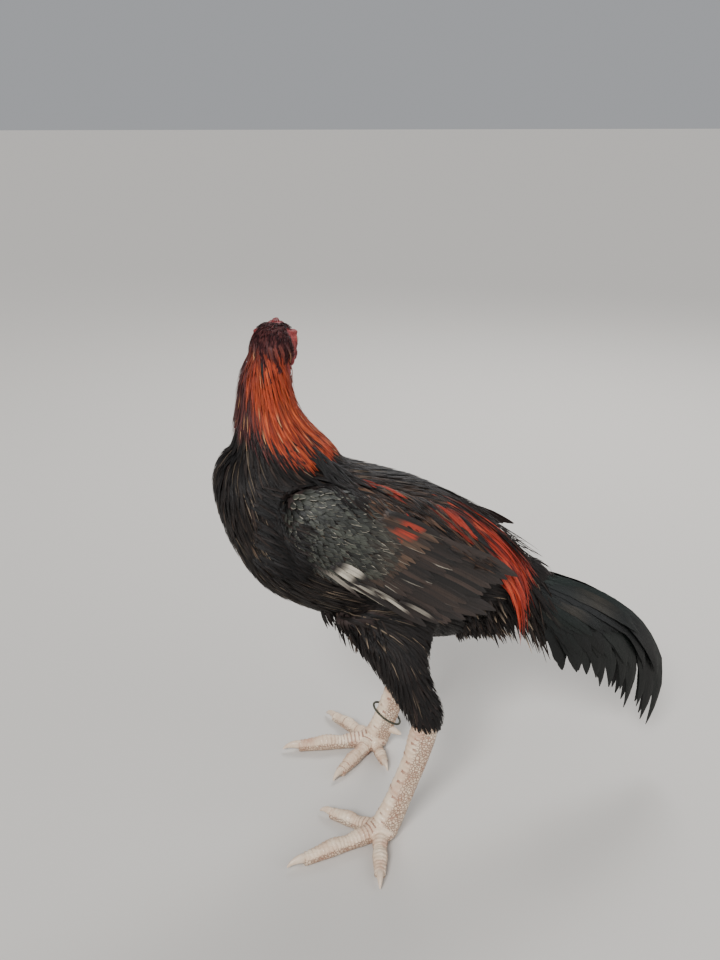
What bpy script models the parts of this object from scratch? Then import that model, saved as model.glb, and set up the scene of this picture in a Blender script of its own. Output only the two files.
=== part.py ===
"""A standing Aseel gamecock at life size, as a museum model.

Metres, +Z up. The bird faces -X and stands on the floor at Z = 0. Its left side is at -Y, and its
head is turned over its right shoulder, towards +Y. Each named part of the bird is one closed object.
"""

import math

import bmesh
import bpy
import numpy as np
from mathutils import Matrix, Vector
from mathutils.bvhtree import BVHTree

# The clearance that neighbouring parts keep, so that they meet face to face without touching.
GAP = 0.0003

# Driving sizes of the bird.
CROWN_HEIGHT = 0.556
HEAD_TURN = math.radians(-108)
HEAD_NOD = math.radians(4)
HEAD_PLACE = Vector((-0.0865, 0.004, CROWN_HEIGHT - 0.028))
LEFT_FOOT = Vector((0.006, -0.092, 0.0))
RIGHT_FOOT = Vector((0.030, 0.077, 0.0))

MM = 0.001


def clear_scene():
    for obj in list(bpy.data.objects):
        bpy.data.objects.remove(obj)


def new_collection(name):
    collection = bpy.data.collections.new(name)
    bpy.context.scene.collection.children.link(collection)
    return collection


clear_scene()
BIRD = new_collection("gamecock")
CUTTERS = new_collection("cutters")
CUTTERS.hide_render = True


def finish_material(name, colour, roughness, metallic=0.0):
    """A plain principled finish with the colour of one kind of surface."""
    made = bpy.data.materials.new(name)
    made.use_nodes = True
    shader = made.node_tree.nodes["Principled BSDF"]
    shader.inputs["Base Color"].default_value = (*colour, 1.0)
    shader.inputs["Roughness"].default_value = roughness
    shader.inputs["Metallic"].default_value = metallic
    return made


BLACK_PLUMAGE = finish_material("black_plumage", (0.022, 0.018, 0.017), 0.55)
RED_HACKLE = finish_material("red_hackle", (0.42, 0.085, 0.028), 0.50)
WING_PLUMAGE = finish_material("wing_plumage", (0.045, 0.036, 0.030), 0.55)
TAIL_PLUMAGE = finish_material("tail_plumage", (0.010, 0.014, 0.013), 0.40)
HEAD_SKIN = finish_material("head_skin", (0.34, 0.045, 0.040), 0.60)
COMB_SKIN = finish_material("comb_skin", (0.40, 0.035, 0.030), 0.55)
BEAK_HORN = finish_material("beak_horn", (0.62, 0.50, 0.32), 0.40)
EYE_PEARL = finish_material("eye_pearl", (0.75, 0.72, 0.62), 0.10)
LEG_SCALE = finish_material("leg_scale", (0.64, 0.53, 0.42), 0.60)
CLAW_HORN = finish_material("claw_horn", (0.66, 0.52, 0.42), 0.45)
RING_RUBBER = finish_material("ring_rubber", (0.030, 0.032, 0.022), 0.60)


def point(x, y, z):
    """A point given in millimetres."""
    return Vector((x, y, z)) * MM


def mesh_object(name, mesh, material, collection=BIRD):
    obj = bpy.data.objects.new(name, mesh)
    collection.objects.link(obj)
    mesh.materials.clear()
    mesh.materials.append(material)
    return obj


def shade_round(obj, sharp_degrees=40):
    obj.data.shade_smooth()
    obj.data.set_sharp_from_angle(angle=math.radians(sharp_degrees))


def smooth_rows(rows, steps):
    """A Catmull-Rom curve through rows of numbers, with this many steps from each row to the next."""
    rows = np.array(rows, float)
    ends = np.vstack([2 * rows[0] - rows[1], rows, 2 * rows[-1] - rows[-2]])
    made = []
    for i in range(len(rows) - 1):
        before, start, stop, after = ends[i : i + 4]
        for k in range(steps):
            t = k / steps
            made.append(
                0.5
                * (
                    2 * start
                    + (stop - before) * t
                    + (2 * before - 5 * start + 4 * stop - after) * t * t
                    + (3 * start - before - 3 * stop + after) * t**3
                )
            )
    made.append(rows[-1])
    return np.array(made)


def loft(name, rings, material, collection=BIRD):
    """A closed skin over rings of equally many points, with a pole at each end. Its faces are split
    at once, so that its clearance has the very same folds."""
    bm = bmesh.new()
    loops = [[bm.verts.new(p) for p in ring] for ring in rings]
    sides = len(loops[0])
    for one, two in zip(loops, loops[1:]):
        for k in range(sides):
            bm.faces.new((one[k], one[(k + 1) % sides], two[(k + 1) % sides], two[k]))
    for loop in (loops[0], loops[-1]):
        pole = bm.verts.new(sum((v.co for v in loop), Vector()) / sides)
        for k in range(sides):
            bm.faces.new((loop[k], loop[(k + 1) % sides], pole))
    bmesh.ops.triangulate(bm, faces=bm.faces)
    bmesh.ops.recalc_face_normals(bm, faces=bm.faces)
    mesh = bpy.data.meshes.new(name)
    bm.to_mesh(mesh)
    bm.free()
    obj = mesh_object(name, mesh, material, collection)
    shade_round(obj)
    return obj


def oval(centre, up, side, sides, keel=0.0):
    """A ring round centre. keel from 0 to 1 draws the lower half in towards a ridge."""
    ring = []
    for k in range(sides):
        angle = 2 * math.pi * (k + 0.5) / sides
        height, width = math.cos(angle), math.sin(angle)
        if height < 0:
            width *= 1 - keel * height * height
        ring.append(centre + up * height + side * width)
    return ring


def outline_loft(name, stations, steps, sides, material, half_width=1.0, collection=BIRD):
    """A body lofted through stations of millimetres: the top and bottom points of its side outline,
    (top x, top z, bottom x, bottom z), then its half width and its keel."""
    rings = []
    for top_x, top_z, bottom_x, bottom_z, half, keel in smooth_rows(stations, steps):
        top, bottom = point(top_x, 0, top_z), point(bottom_x, 0, bottom_z)
        side = Vector((0, half * MM * half_width, 0))
        rings.append(oval((top + bottom) / 2, (top - bottom) / 2, side, sides, max(keel, 0.0)))
    return loft(name, rings, material, collection)


def limb_rings(stations, steps, sides, floor=None):
    """Rings along a limb. A station is its centre and two half sizes in millimetres: x, y, z, the
    half size in the plane of its bend and the half size across it. The floor presses rings flat."""
    rows = smooth_rows(stations, steps)
    centres = [Vector(row[:3]) * MM for row in rows]
    run = centres[-1] - centres[0]
    level = Vector((run.x, run.y, 0))
    steep = abs(run.z) > level.length
    across = Vector((0, 1, 0)) if steep else level.cross(Vector((0, 0, 1))).normalized()
    rings = []
    for i, row in enumerate(rows):
        ahead = centres[min(i + 1, len(centres) - 1)] - centres[max(i - 1, 0)]
        plane = across.cross(ahead.normalized()).normalized()
        ring = oval(centres[i], plane * row[3] * MM, across * row[4] * MM, sides)
        if floor is not None:
            for p in ring:
                p.z = max(p.z, floor)
        rings.append(ring)
    return rings


def limb(name, stations, material, steps=4, sides=14, floor=None, collection=BIRD):
    return loft(name, limb_rings(stations, steps, sides, floor), material, collection)


def evaluated_copy(obj, name, collection):
    """A plain mesh of the object as its modifiers leave it."""
    graph = bpy.context.evaluated_depsgraph_get()
    mesh = bpy.data.meshes.new_from_object(obj.evaluated_get(graph))
    copy = bpy.data.objects.new(name, mesh)
    copy.matrix_world = obj.matrix_world
    collection.objects.link(copy)
    return copy


def grown_copy(obj, name):
    """A copy of a simple closed form, grown outwards by the gap."""
    cutter = evaluated_copy(obj, name, CUTTERS)
    cutter.hide_render = True
    cutter.display_type = "WIRE"
    bm = bmesh.new()
    bm.from_mesh(cutter.data)
    bm.normal_update()
    places = [v.co + v.normal * GAP * v.calc_shell_factor() for v in bm.verts]
    for v, place in zip(bm.verts, places):
        v.co = place
    bm.to_mesh(cutter.data)
    bm.free()
    return cutter


def make_clearance(obj, *pieces):
    """Keeps the form of a part and its pieces, grown by the gap, as a cutter for its neighbours."""
    cutter = grown_copy(obj, obj.name + "_clearance")
    if pieces:
        fuse(cutter, [grown_copy(piece, "grown") for piece in pieces])


def apply_boolean(obj, operation, other, solver):
    """Applies one Boolean with an object or a collection, and keeps the largest closed surface."""
    modifier = obj.modifiers.new("join", "BOOLEAN")
    modifier.operation = operation
    modifier.solver = solver
    if isinstance(other, bpy.types.Collection):
        modifier.operand_type = "COLLECTION"
        modifier.collection = other
    else:
        modifier.object = other
    graph = bpy.context.evaluated_depsgraph_get()
    mesh = bpy.data.meshes.new_from_object(obj.evaluated_get(graph))
    obj.modifiers.clear()
    material = obj.data.materials[0]
    obj.data = mesh
    keep_largest(obj)
    obj.data.materials.clear()
    obj.data.materials.append(material)
    shade_round(obj)


def keep_largest(obj):
    """Drops every closed surface of the object's mesh but the largest, and turns that outwards."""
    bm = bmesh.new()
    bm.from_mesh(obj.data)
    left = set(bm.verts)
    shells = []
    while left:
        shell, front = set(), [left.pop()]
        while front:
            v = front.pop()
            shell.add(v)
            for edge in v.link_edges:
                other = edge.other_vert(v)
                if other in left:
                    left.discard(other)
                    front.append(other)
        shells.append(shell)
    shells.sort(key=shell_size, reverse=True)
    scraps = [v for shell in shells[1:] for v in shell]
    bmesh.ops.delete(bm, geom=scraps, context="VERTS")
    if bm.calc_volume(signed=True) < 0:
        bmesh.ops.reverse_faces(bm, faces=bm.faces)
    bm.to_mesh(obj.data)
    bm.free()


def shell_size(shell):
    """The diagonal of the box round these points."""
    places = np.array([v.co for v in shell])
    return float(np.linalg.norm(places.max(0) - places.min(0)))


def remove_object(obj):
    bpy.data.objects.remove(obj)


def cut_clear(obj, *neighbours, solver="EXACT"):
    """Cuts the part back from its neighbours' clearances, so that they meet face to face."""
    for name in neighbours:
        apply_boolean(obj, "DIFFERENCE", CUTTERS.objects[name + "_clearance"], solver)


def fuse(obj, pieces):
    """Fuses closed pieces into the object with one union."""
    group = new_collection("pieces")
    for piece in pieces:
        CUTTERS.objects.unlink(piece)
        group.objects.link(piece)
    apply_boolean(obj, "UNION", group, "MANIFOLD")
    for piece in list(group.objects):
        remove_object(piece)
    bpy.data.collections.remove(group)


def cut_with(obj, cutters):
    for cutter in cutters:
        apply_boolean(obj, "DIFFERENCE", cutter, "EXACT")
        remove_object(cutter)


def egg(name, place, radii, material, turn=Matrix(), segments=10, rings=5):
    """A closed ball with three radii, as a piece to join or to cut with."""
    bm = bmesh.new()
    bmesh.ops.create_uvsphere(bm, u_segments=segments, v_segments=rings, radius=1.0)
    shape = Matrix.Translation(place) @ turn.to_4x4() @ Matrix.Diagonal((*radii, 1.0))
    bmesh.ops.transform(bm, matrix=shape, verts=bm.verts)
    mesh = bpy.data.meshes.new(name)
    bm.to_mesh(mesh)
    bm.free()
    return mesh_object(name, mesh, material, CUTTERS)


def hoop(name, frame, radius, tube, material, steps=14, sides=6):
    """A closed ring of round section in the frame's XY plane, as a piece."""
    bpy.ops.mesh.primitive_torus_add(
        major_segments=steps, minor_segments=sides, major_radius=radius, minor_radius=tube
    )
    made = bpy.context.object
    made.name = name
    for home in list(made.users_collection):
        home.objects.unlink(made)
    CUTTERS.objects.link(made)
    made.data.transform(frame)
    made.data.materials.clear()
    made.data.materials.append(material)
    return made


def make_part(piece, name):
    """Turns a piece into one of the bird's named parts."""
    CUTTERS.objects.unlink(piece)
    BIRD.objects.link(piece)
    piece.name = name
    shade_round(piece)
    return piece


def move_to(obj, matrix):
    """Bakes a placement into the object's mesh."""
    obj.data.transform(matrix)
    obj.data.update()


# Feathers: a feather's vane is a thin tapered strip. Its path is a list of places and outward
# normals at even shares of its length, and starts inside the body that it grows from.

VANE_THICKNESS = 0.0006
VANE_RUNS = 3
MARCH = 0.004


def run_shares(runs):
    """Shares of a feather's length where its stations stand, closer together near the tip."""
    return [1 - (1 - k / runs) ** 1.15 for k in range(runs + 1)]


def taper(share, fullest, tip):
    """A vane's width beside its greatest: narrow at the root, then full, then drawn to its tip."""
    if share < fullest:
        return 0.5 + 0.5 * math.sin(math.pi / 2 * share / fullest)
    return tip + (1 - tip) * math.cos(math.pi / 2 * (share - fullest) / (1 - fullest))


def vane(path, width, fullest=0.5, tip=0.22, roll=0.0):
    """One feather as a closed strip of flat section, split alike on both faces. roll lifts one
    edge, in degrees, so that neighbours lie over one another as roof tiles do."""
    bm = bmesh.new()
    loops = []
    shares = run_shares(len(path) - 1)
    for i, (share, (place, normal)) in enumerate(zip(shares, path)):
        ahead = path[min(i + 1, len(path) - 1)][0] - path[max(i - 1, 0)][0]
        side = ahead.cross(normal).normalized()
        out = side.cross(ahead).normalized()
        turn = Matrix.Rotation(math.radians(roll), 3, ahead.normalized())
        half = turn @ side * width / 2 * taper(share, fullest, tip)
        thick = turn @ out * VANE_THICKNESS / 2
        corners = (place - half + thick, place + half + thick, place + half - thick, place - half - thick)
        loops.append([bm.verts.new(corner) for corner in corners])
    for (a, b, c, d), (e, f, g, h) in zip(loops, loops[1:]):
        top, bottom = ((a, b, f), (a, f, e)), ((c, d, g), (d, h, g))
        edges = ((b, c, g), (b, g, f), (d, a, e), (d, e, h))
        for corners in (*top, *bottom, *edges):
            bm.faces.new(corners)
    for a, b, c, d in (loops[0], loops[-1]):
        bm.faces.new((a, c, b))
        bm.faces.new((a, d, c))
    bmesh.ops.recalc_face_normals(bm, faces=bm.faces)
    mesh = bpy.data.meshes.new("vane")
    bm.to_mesh(mesh)
    bm.free()
    return mesh_object("vane", mesh, BLACK_PLUMAGE, CUTTERS)


def surface_of(*parts):
    """The outer surfaces of some parts, for feathers to lie on."""
    places, faces = [], []
    for part in parts:
        base = len(places)
        places += [v.co.copy() for v in part.data.vertices]
        faces += [[base + k for k in face.vertices] for face in part.data.polygons]
    return BVHTree.FromPolygons(places, faces)


def lie_on(surface, start, heading, length, runs, sink, low, high):
    """A path that lies along a surface from a start near it. The root is sunk below the surface.
    From the second station on, the path rises from the height low to high at the tip."""
    place, normal, _, _ = surface.find_nearest(start)
    gone, path = 0.0, []
    for share in run_shares(runs):
        while gone < share * length - 1e-9:
            step = min(MARCH, share * length - gone)
            tangent = (heading - normal * heading.dot(normal)).normalized()
            found, found_normal, _, _ = surface.find_nearest(place + tangent * step)
            place, normal = found, normal.lerp(found_normal, 0.5).normalized()
            gone += step
        path.append((place + normal * ((low + (high - low) * share) if gone else -sink), normal.copy()))
    return path


def arc_path(start, leave, reach_back, end, normals, runs):
    """A path along a cubic curve. It leaves the start along one direction, reaches the end along
    another, and its normal turns from the first of two normals to the second."""
    third = (end - start).length / 3
    a, b, c, d = start, start + leave * third, end - reach_back * third, end
    path = []
    for t in run_shares(runs):
        place = a * (1 - t) ** 3 + b * 3 * t * (1 - t) ** 2 + c * 3 * t * t * (1 - t) + d * t**3
        path.append((place, normals[0].lerp(normals[1], t).normalized()))
    return path


# Torso: breast, back and abdomen in one egg that slopes down to the rump.

TORSO_STATIONS = [
    (-149, 403, -150, 380, 16, 0.0),
    (-137, 424, -146, 356, 42, 0.0),
    (-110, 434, -133, 316, 57, 0.05),
    (-68, 428, -104, 270, 66, 0.15),
    (-22, 411, -62, 243, 70, 0.25),
    (24, 397, -14, 224, 70, 0.25),
    (68, 381, 34, 206, 69, 0.15),
    (108, 356, 82, 196, 64, 0.0),
    (141, 328, 124, 200, 55, 0.0),
    (167, 304, 153, 214, 42, 0.0),
    (184, 286, 174, 238, 26, 0.0),
]


def make_torso():
    torso = outline_loft("torso", TORSO_STATIONS, 2, 18, BLACK_PLUMAGE)
    make_clearance(torso)
    return torso


# Saddle: pointed hackles that grow from the back in rows, run back and then fall behind the wings.
# A row is how far back its roots stand, how far out they reach, the count on each side, the width,
# and how far short of the lowest tips its own tips end.
SADDLE_ROWS = ((98, 50, 3, 21, 40), (120, 46, 3, 21, 20), (143, 36, 3, 20, 0))
SADDLE_SINK = 0.004
# The tips next to the midline and those at the side, in millimetres: back, outwards, up.
SADDLE_TIPS = (Vector((194, 13, 290)), Vector((168, 52, 198)))
SADDLE_LAYER = 1.7


def saddle_feather(surface, side, number, share):
    """One saddle hackle. share runs from the midline to the flank. Later rows lie deeper."""
    x, spread, _, width, short = SADDLE_ROWS[number]
    above = point(x + 4 * share, side * (7 + (spread - 7) * share), 600)
    root, normal, _, _ = surface.ray_cast(above, Vector((0, 0, -1)))
    tip = SADDLE_TIPS[0].lerp(SADDLE_TIPS[1], share) + Vector((-0.7, 0, 1.0)) * short
    tip.y = SADDLE_TIPS[0].y + (SADDLE_TIPS[1].y - SADDLE_TIPS[0].y) * share**0.6
    out = Vector((0.30, 0.25 + 0.75 * share, 0.90 - 0.75 * share)).normalized()
    tip += out * SADDLE_LAYER * (len(SADDLE_ROWS) - number)
    tip.y *= side
    out.y *= side
    leave = Vector((0.86, side * 0.30 * share, -0.22 - 0.16 * share))
    fall = Vector((0.75 - 0.70 * share, 0, -0.60 - 0.45 * share))
    path = arc_path(root - normal * SADDLE_SINK, leave, fall, tip * MM, (normal, out), VANE_RUNS)
    return vane(path, width * MM, 0.55, 0.18)


def add_saddle(torso):
    surface = surface_of(torso)
    feathers = []
    for number, row in enumerate(SADDLE_ROWS):
        for side in (-1, 1):
            for i in range(row[2]):
                share = (i + 0.15 + 0.35 * (number % 2)) / (row[2] - 0.35)
                feather = saddle_feather(surface, side, number, min(share, 1.0))
                cut_clear(feather, "tail", solver="MANIFOLD")
                feathers.append(feather)
    fuse(torso, feathers)


# Neck: an upright column that widens into the shoulders under the hackle.

NECK_STATIONS = [
    (-70, 0, 378, 64, 52),
    (-84, 0, 412, 56, 50),
    (-91, 0, 437, 45, 43),
    (-95, 0, 462, 35.5, 35),
    (-96, -1, 488, 30.5, 30),
    (-93, -2, 510, 27.5, 27),
    (-90, -2, 528, 23, 22),
]


# The hackle's rows: height of the roots, the count round the neck, length, width and runs.
HACKLE_ROWS = (
    (530, 7, 32, 16, 3),
    (511, 8, 42, 17, 3),
    (490, 8, 50, 20, 3),
    (468, 8, 56, 23, 3),
    (447, 8, 60, 27, 4),
    (430, 8, 62, 29, 4),
)
HACKLE_DEPTH = 3.2
HACKLE_RISE = (0.0040, -0.0006, 0.0046)


def neck_loft(name, steps, sides):
    rings = []
    for x, y, z, half_long, half_wide in smooth_rows(NECK_STATIONS, steps):
        long, wide = (half_long - HACKLE_DEPTH) * MM, (half_wide - HACKLE_DEPTH) * MM
        rings.append(oval(point(x, y, z), Vector((long, 0, 0)), Vector((0, wide, 0)), sides))
    return loft(name, rings, RED_HACKLE)


def make_neck():
    neck = neck_loft("neck", 2, 12)
    make_clearance(neck)
    return neck


def neck_middle(height):
    """The neck's middle at this height, in millimetres."""
    row = min(smooth_rows(NECK_STATIONS, 8), key=lambda r: abs(r[2] - height))
    return Vector(row[:3])


def add_hackle(neck, torso):
    """Pointed feathers in rows down the neck, the upper rows lying over the lower."""
    form = neck_loft("neck_form", 5, 40)
    around = surface_of(form, torso)
    remove_object(form)
    feathers = []
    for number, (height, count, length, width, runs) in enumerate(HACKLE_ROWS):
        middle = neck_middle(height)
        for i in range(count):
            angle = 2 * math.pi * (i + 0.5 * (number % 2)) / count
            out = Vector((math.cos(angle), math.sin(angle), 0))
            start, _, _, _ = around.ray_cast((middle + out * 90) * MM, -out)
            reach = length * MM * (0.86 + 0.14 * out.x)
            path = lie_on(around, start, Vector((0.15, 0, -1)) + out * 0.3, reach, runs, *HACKLE_RISE)
            feathers.append(vane(path, width * MM, 0.5, 0.22))
    fuse(neck, feathers)


# Head: a broad skull with heavy brows, short curved beak, pea comb and pale eyes. It is drawn
# facing -X about the middle of the skull, then turned over the shoulder.

HEAD_MATRIX = (
    Matrix.Translation(HEAD_PLACE)
    @ Matrix.Rotation(HEAD_TURN, 4, "Z")
    @ Matrix.Rotation(HEAD_NOD, 4, "Y")
)
SKULL_STATIONS = [
    (26, 4, 25, -12, 9, 0.0),
    (21, 14, 19, -20, 16.5, 0.0),
    (11, 20.5, 8, -24, 20.5, 0.1),
    (-1, 23, -3, -24, 22.5, 0.2),
    (-12, 22, -13, -21.5, 21.5, 0.25),
    (-21, 18.5, -22, -17.5, 17, 0.25),
    (-29, 12.5, -29, -13.5, 12, 0.2),
    (-34, 6, -34, -9, 7, 0.0),
]
EYE_PLACE = Vector((-0.0115, 0.0172, 0.0045))
EYE_RADIUS = 0.0062
EYE_LOOK = math.radians(12)
LID_TUBE = 0.0017
LID_RADIUS = 0.0058
LID_SQUASH = 0.82
LID_STAND = 0.0036


def mirrored(place, side):
    """The place on the bird's left (side -1) or right (side +1) half."""
    return Vector((place.x, side * abs(place.y), place.z))


def eye_frame(side):
    """A frame at the eye whose Z axis looks out of the head."""
    out = Vector((-math.sin(EYE_LOOK), side * math.cos(EYE_LOOK), 0.06)).normalized()
    along = Vector((1, 0, 0)) - out * out.x
    along.normalize()
    turn = Matrix((along, out.cross(along), out)).transposed()
    return Matrix.Translation(mirrored(EYE_PLACE, side)) @ turn.to_4x4()


EAR_RADII = (0.0016, 0.0024, 0.0020)


def make_skull():
    """Skull, brows, cheeks, ear lobes, throat fold and lids, still facing -X."""
    head = outline_loft("head", SKULL_STATIONS, 1, 16, HEAD_SKIN)
    pieces = []
    for side in (-1, 1):
        squash = Matrix.Translation((0, 0, LID_STAND)) @ Matrix.Diagonal((1.06, LID_SQUASH, 1, 1))
        pieces.append(hoop("lid", eye_frame(side) @ squash, LID_RADIUS, LID_TUBE, HEAD_SKIN, 12, 5))
        brow = Matrix.Rotation(math.radians(-14), 3, "Y")
        bulges = (
            ("brow", (-13, 17.5, 11.5), (0.011, 0.0045, 0.0032), brow),
            ("cheek", (-8, 15, -9), (0.013, 0.0072, 0.0085), Matrix()),
            ("ear_lobe", (8, 20.2, -9), (0.0048, 0.0028, 0.0072), Matrix()),
        )
        for name, place, radii, turn in bulges:
            pieces.append(egg(name, mirrored(point(*place), side), radii, HEAD_SKIN, turn))
    pieces.append(egg("throat_fold", point(-12, 0, -23), (0.014, 0.0034, 0.0085), HEAD_SKIN))
    make_clearance(head, *pieces)
    fuse(head, pieces)
    ears = [
        egg("ear", mirrored(point(5.5, 21.5, -0.5), side), EAR_RADII, HEAD_SKIN, segments=6, rings=4)
        for side in (-1, 1)
    ]
    cut_with(head, ears)
    return head


def make_eyes():
    eyes = []
    for name, side in (("eye_left", -1), ("eye_right", 1)):
        frame = eye_frame(side)
        ball = egg(name, frame.translation, (EYE_RADIUS,) * 3, EYE_PEARL, frame.to_3x3(), 10, 7)
        eyes.append(make_part(ball, name))
        make_clearance(ball)
    return eyes


UPPER_BEAK = [
    (-24, 14, -25, -2, 9.5, 0.0),
    (-31, 12.5, -31, -2.2, 9.0, 0.0),
    (-39, 9.5, -39, -2.6, 7.2, 0.0),
    (-47, 4.5, -47, -4.0, 5.0, 0.0),
    (-53, -1.5, -52.5, -7.0, 2.8, 0.0),
    (-56, -8, -54.5, -10.0, 1.1, 0.0),
]
LOWER_BEAK = [
    (-24, -2.6, -24, -13.5, 8.4, 0.0),
    (-31, -2.8, -31, -12.4, 7.8, 0.0),
    (-39, -3.2, -38, -10.6, 6.0, 0.0),
    (-46, -4.8, -45, -9.2, 3.8, 0.0),
    (-51.0, -7.6, -50.4, -9.2, 1.5, 0.0),
]
NOSTRIL_RADII = (0.0030, 0.0016, 0.0011)


def make_beak():
    upper = outline_loft("beak_upper", UPPER_BEAK, 1, 12, BEAK_HORN)
    lower = outline_loft("beak_lower", LOWER_BEAK, 1, 10, BEAK_HORN)
    make_clearance(upper)
    cut_clear(lower, "beak_upper")
    nostrils = [
        egg("nostril", mirrored(point(-36.5, 8.2, 4.2), side), NOSTRIL_RADII, BEAK_HORN, segments=6, rings=4)
        for side in (-1, 1)
    ]
    cut_with(upper, nostrils)
    return upper, lower


COMB_ROWS = [
    (0.0, (-31, -25.5, -19.5, -13.5, -8), (13.5, 17.3, 20.3, 22.0, 21.9), 3.6),
    (5.2, (-28, -22.5, -17, -11.5), (13.0, 16.6, 19.0, 20.0), 3.0),
    (-5.2, (-28, -22.5, -17, -11.5), (13.0, 16.6, 19.0, 20.0), 3.0),
]


def make_comb():
    """A low pea comb: three rows of small rounded peas, the middle row the tallest."""
    peas = []
    for y, xs, zs, radius in COMB_ROWS:
        for i, (x, z) in enumerate(zip(xs, zs)):
            size = radius * (1 - 0.08 * (i % 2)) * MM
            radii = (size * 1.18, size, size * 1.15)
            peas.append(egg("pea", point(x, y, z), radii, COMB_SKIN, segments=7, rings=4))
    comb = make_part(peas.pop(0), "comb")
    fuse(comb, peas)
    return comb


def make_head():
    head = make_skull()
    eyes = make_eyes()
    upper, lower = make_beak()
    comb = make_comb()
    cut_clear(head, "eye_left", "eye_right")
    cut_clear(upper, "head")
    cut_clear(lower, "head")
    cut_clear(comb, "head", "beak_upper")
    for part in (head, comb, upper, lower, *eyes, CUTTERS.objects["head_clearance"]):
        move_to(part, HEAD_MATRIX)
    return head


# Wings: folded along the flanks, from the wrist at the shoulder to the tips at the rump. The core
# is the feathered arm. Flight feathers and two tiers of coverts grow from it.

WING_STATIONS = [
    (-85, 386, -86, 366, 7),
    (-76, 400, -80, 344, 17),
    (-54, 404, -64, 320, 22),
    (-22, 397, -36, 300, 23),
    (14, 382, -2, 290, 19),
    (46, 362, 32, 292, 12),
    (68, 342, 60, 300, 6),
]
WING_SPREAD = 63
WING_PLANE = 71

# Tiers of the wing from the lowest layer out: the first and last root, and the first and last tip,
# in millimetres along and up the flank, then the count, the width, how far off the wing's plane
# the tier lies, and how far off the arm. Primaries and secondaries start inside the arm.
WING_TIERS = (
    (((-50, 322), (22, 306)), ((56, 246), (138, 252)), 4, 25, 1.6, None),
    (((-24, 322), (44, 346)), ((76, 256), (152, 288)), 6, 23, 5.0, None),
    (((-42, 330), (14, 370)), ((22, 280), (92, 328)), 5, 24, 8.4, 1.9),
)
WING_ROLL = 3.5

# The right wing hangs a little lower at the shoulder, and its flights reach farther back and up.
RIGHT_WING_DROP = 13
RIGHT_TIP_SHIFT = Vector((31, 9))


def flank_path(arm, side, root, tip, off, lift):
    """A run along the flank as seen from its side, drawn in towards the rump. With a lift the
    feather starts in the arm's outer face, follows it and then lies on the tier below."""
    path = []
    for share in run_shares(VANE_RUNS):
        flat = root.lerp(tip, share)
        place = point(flat.x, 0, flat.y)
        spread = WING_PLANE - 10 * max(0.0, (flat.x - 50) / 100) ** 2 + off
        if lift is not None:
            face, _, _, _ = arm.ray_cast(place + Vector((0, side * 0.2, 0)), Vector((0, -side, 0)))
            if face and share > 0:
                spread = max(spread, side * face.y / MM + lift)
            elif face:
                spread = side * face.y / MM - 4
        path.append((place + point(0, side * spread, 0), Vector((0.1, side, 0))))
    return path


def make_wing(name, side, drop):
    rings = []
    for top_x, top_z, bottom_x, bottom_z, half in smooth_rows(WING_STATIONS, 2):
        top = point(top_x, side * WING_SPREAD, top_z - drop)
        bottom = point(bottom_x, side * WING_SPREAD, bottom_z - drop)
        rings.append(oval((top + bottom) / 2, (top - bottom) / 2, Vector((0, half * MM, 0)), 14))
    wing = loft(name, rings, WING_PLUMAGE)
    make_clearance(wing)
    return wing


def add_flight(wing, side, drop, tip_shift):
    arm = surface_of(wing)
    feathers = []
    for roots, tips, count, width, off, lift in WING_TIERS:
        for i in range(count):
            share = i / (count - 1)
            root = Vector(roots[0]).lerp(Vector(roots[1]), share) - Vector((0, drop))
            tip = Vector(tips[0]).lerp(Vector(tips[1]), share)
            if lift is None:
                tip += tip_shift
            else:
                tip -= Vector((0, drop))
            path = flank_path(arm, side, root, tip, off, lift)
            feathers.append(vane(path, width * MM, 0.6, 0.4, side * WING_ROLL))
    fuse(wing, feathers)


# Tail: a short core behind the rump, and two layers of feathers a side. All leave the core, arch
# back and droop.

TAIL_STATIONS = [
    (180, 284, 170, 240, 17),
    (194, 283, 182, 222, 20),
    (208, 275, 196, 214, 18),
    (221, 262, 210, 218, 13),
    (230, 250, 222, 232, 6),
]
# Tail feathers from the top of the fan to its low end: roots, tips, and the directions in which
# they leave and end.
TAIL_ROOTS = (Vector((190, 0, 264)), Vector((188, 0, 234)))
TAIL_TIPS = (Vector((350, 0, 50)), Vector((222, 0, 152)))
TAIL_LEAVE = (Vector((1.2, 0, -0.40)), Vector((0.8, 0, -0.45)))
TAIL_ENDING = (Vector((-0.45, 0, -1.35)), Vector((0.15, 0, -1.0)))
TAIL_TIP_LIFT = 18
# Each layer: count a side, the part of the fan that it fills, its width at the top and at the low
# end, how much of the whole feather it has, and how far its first feather stands off the middle.
TAIL_LAYERS = (
    (6, 0.0, 1.0, 26, 22, 1.0, 5.0),
    (3, 0.05, 0.72, 26, 20, 0.66, 12.0),
)
TAIL_RUNS = 5
TAIL_CURVE_STEPS = 48
# How much farther out each next feather down the fan lies, how far the sides swell apart, and how
# far the top feathers turn from upright towards flat.
TAIL_DECK = 3.0
TAIL_SPREAD = 15
TAIL_ROLL = math.radians(50)


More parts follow.
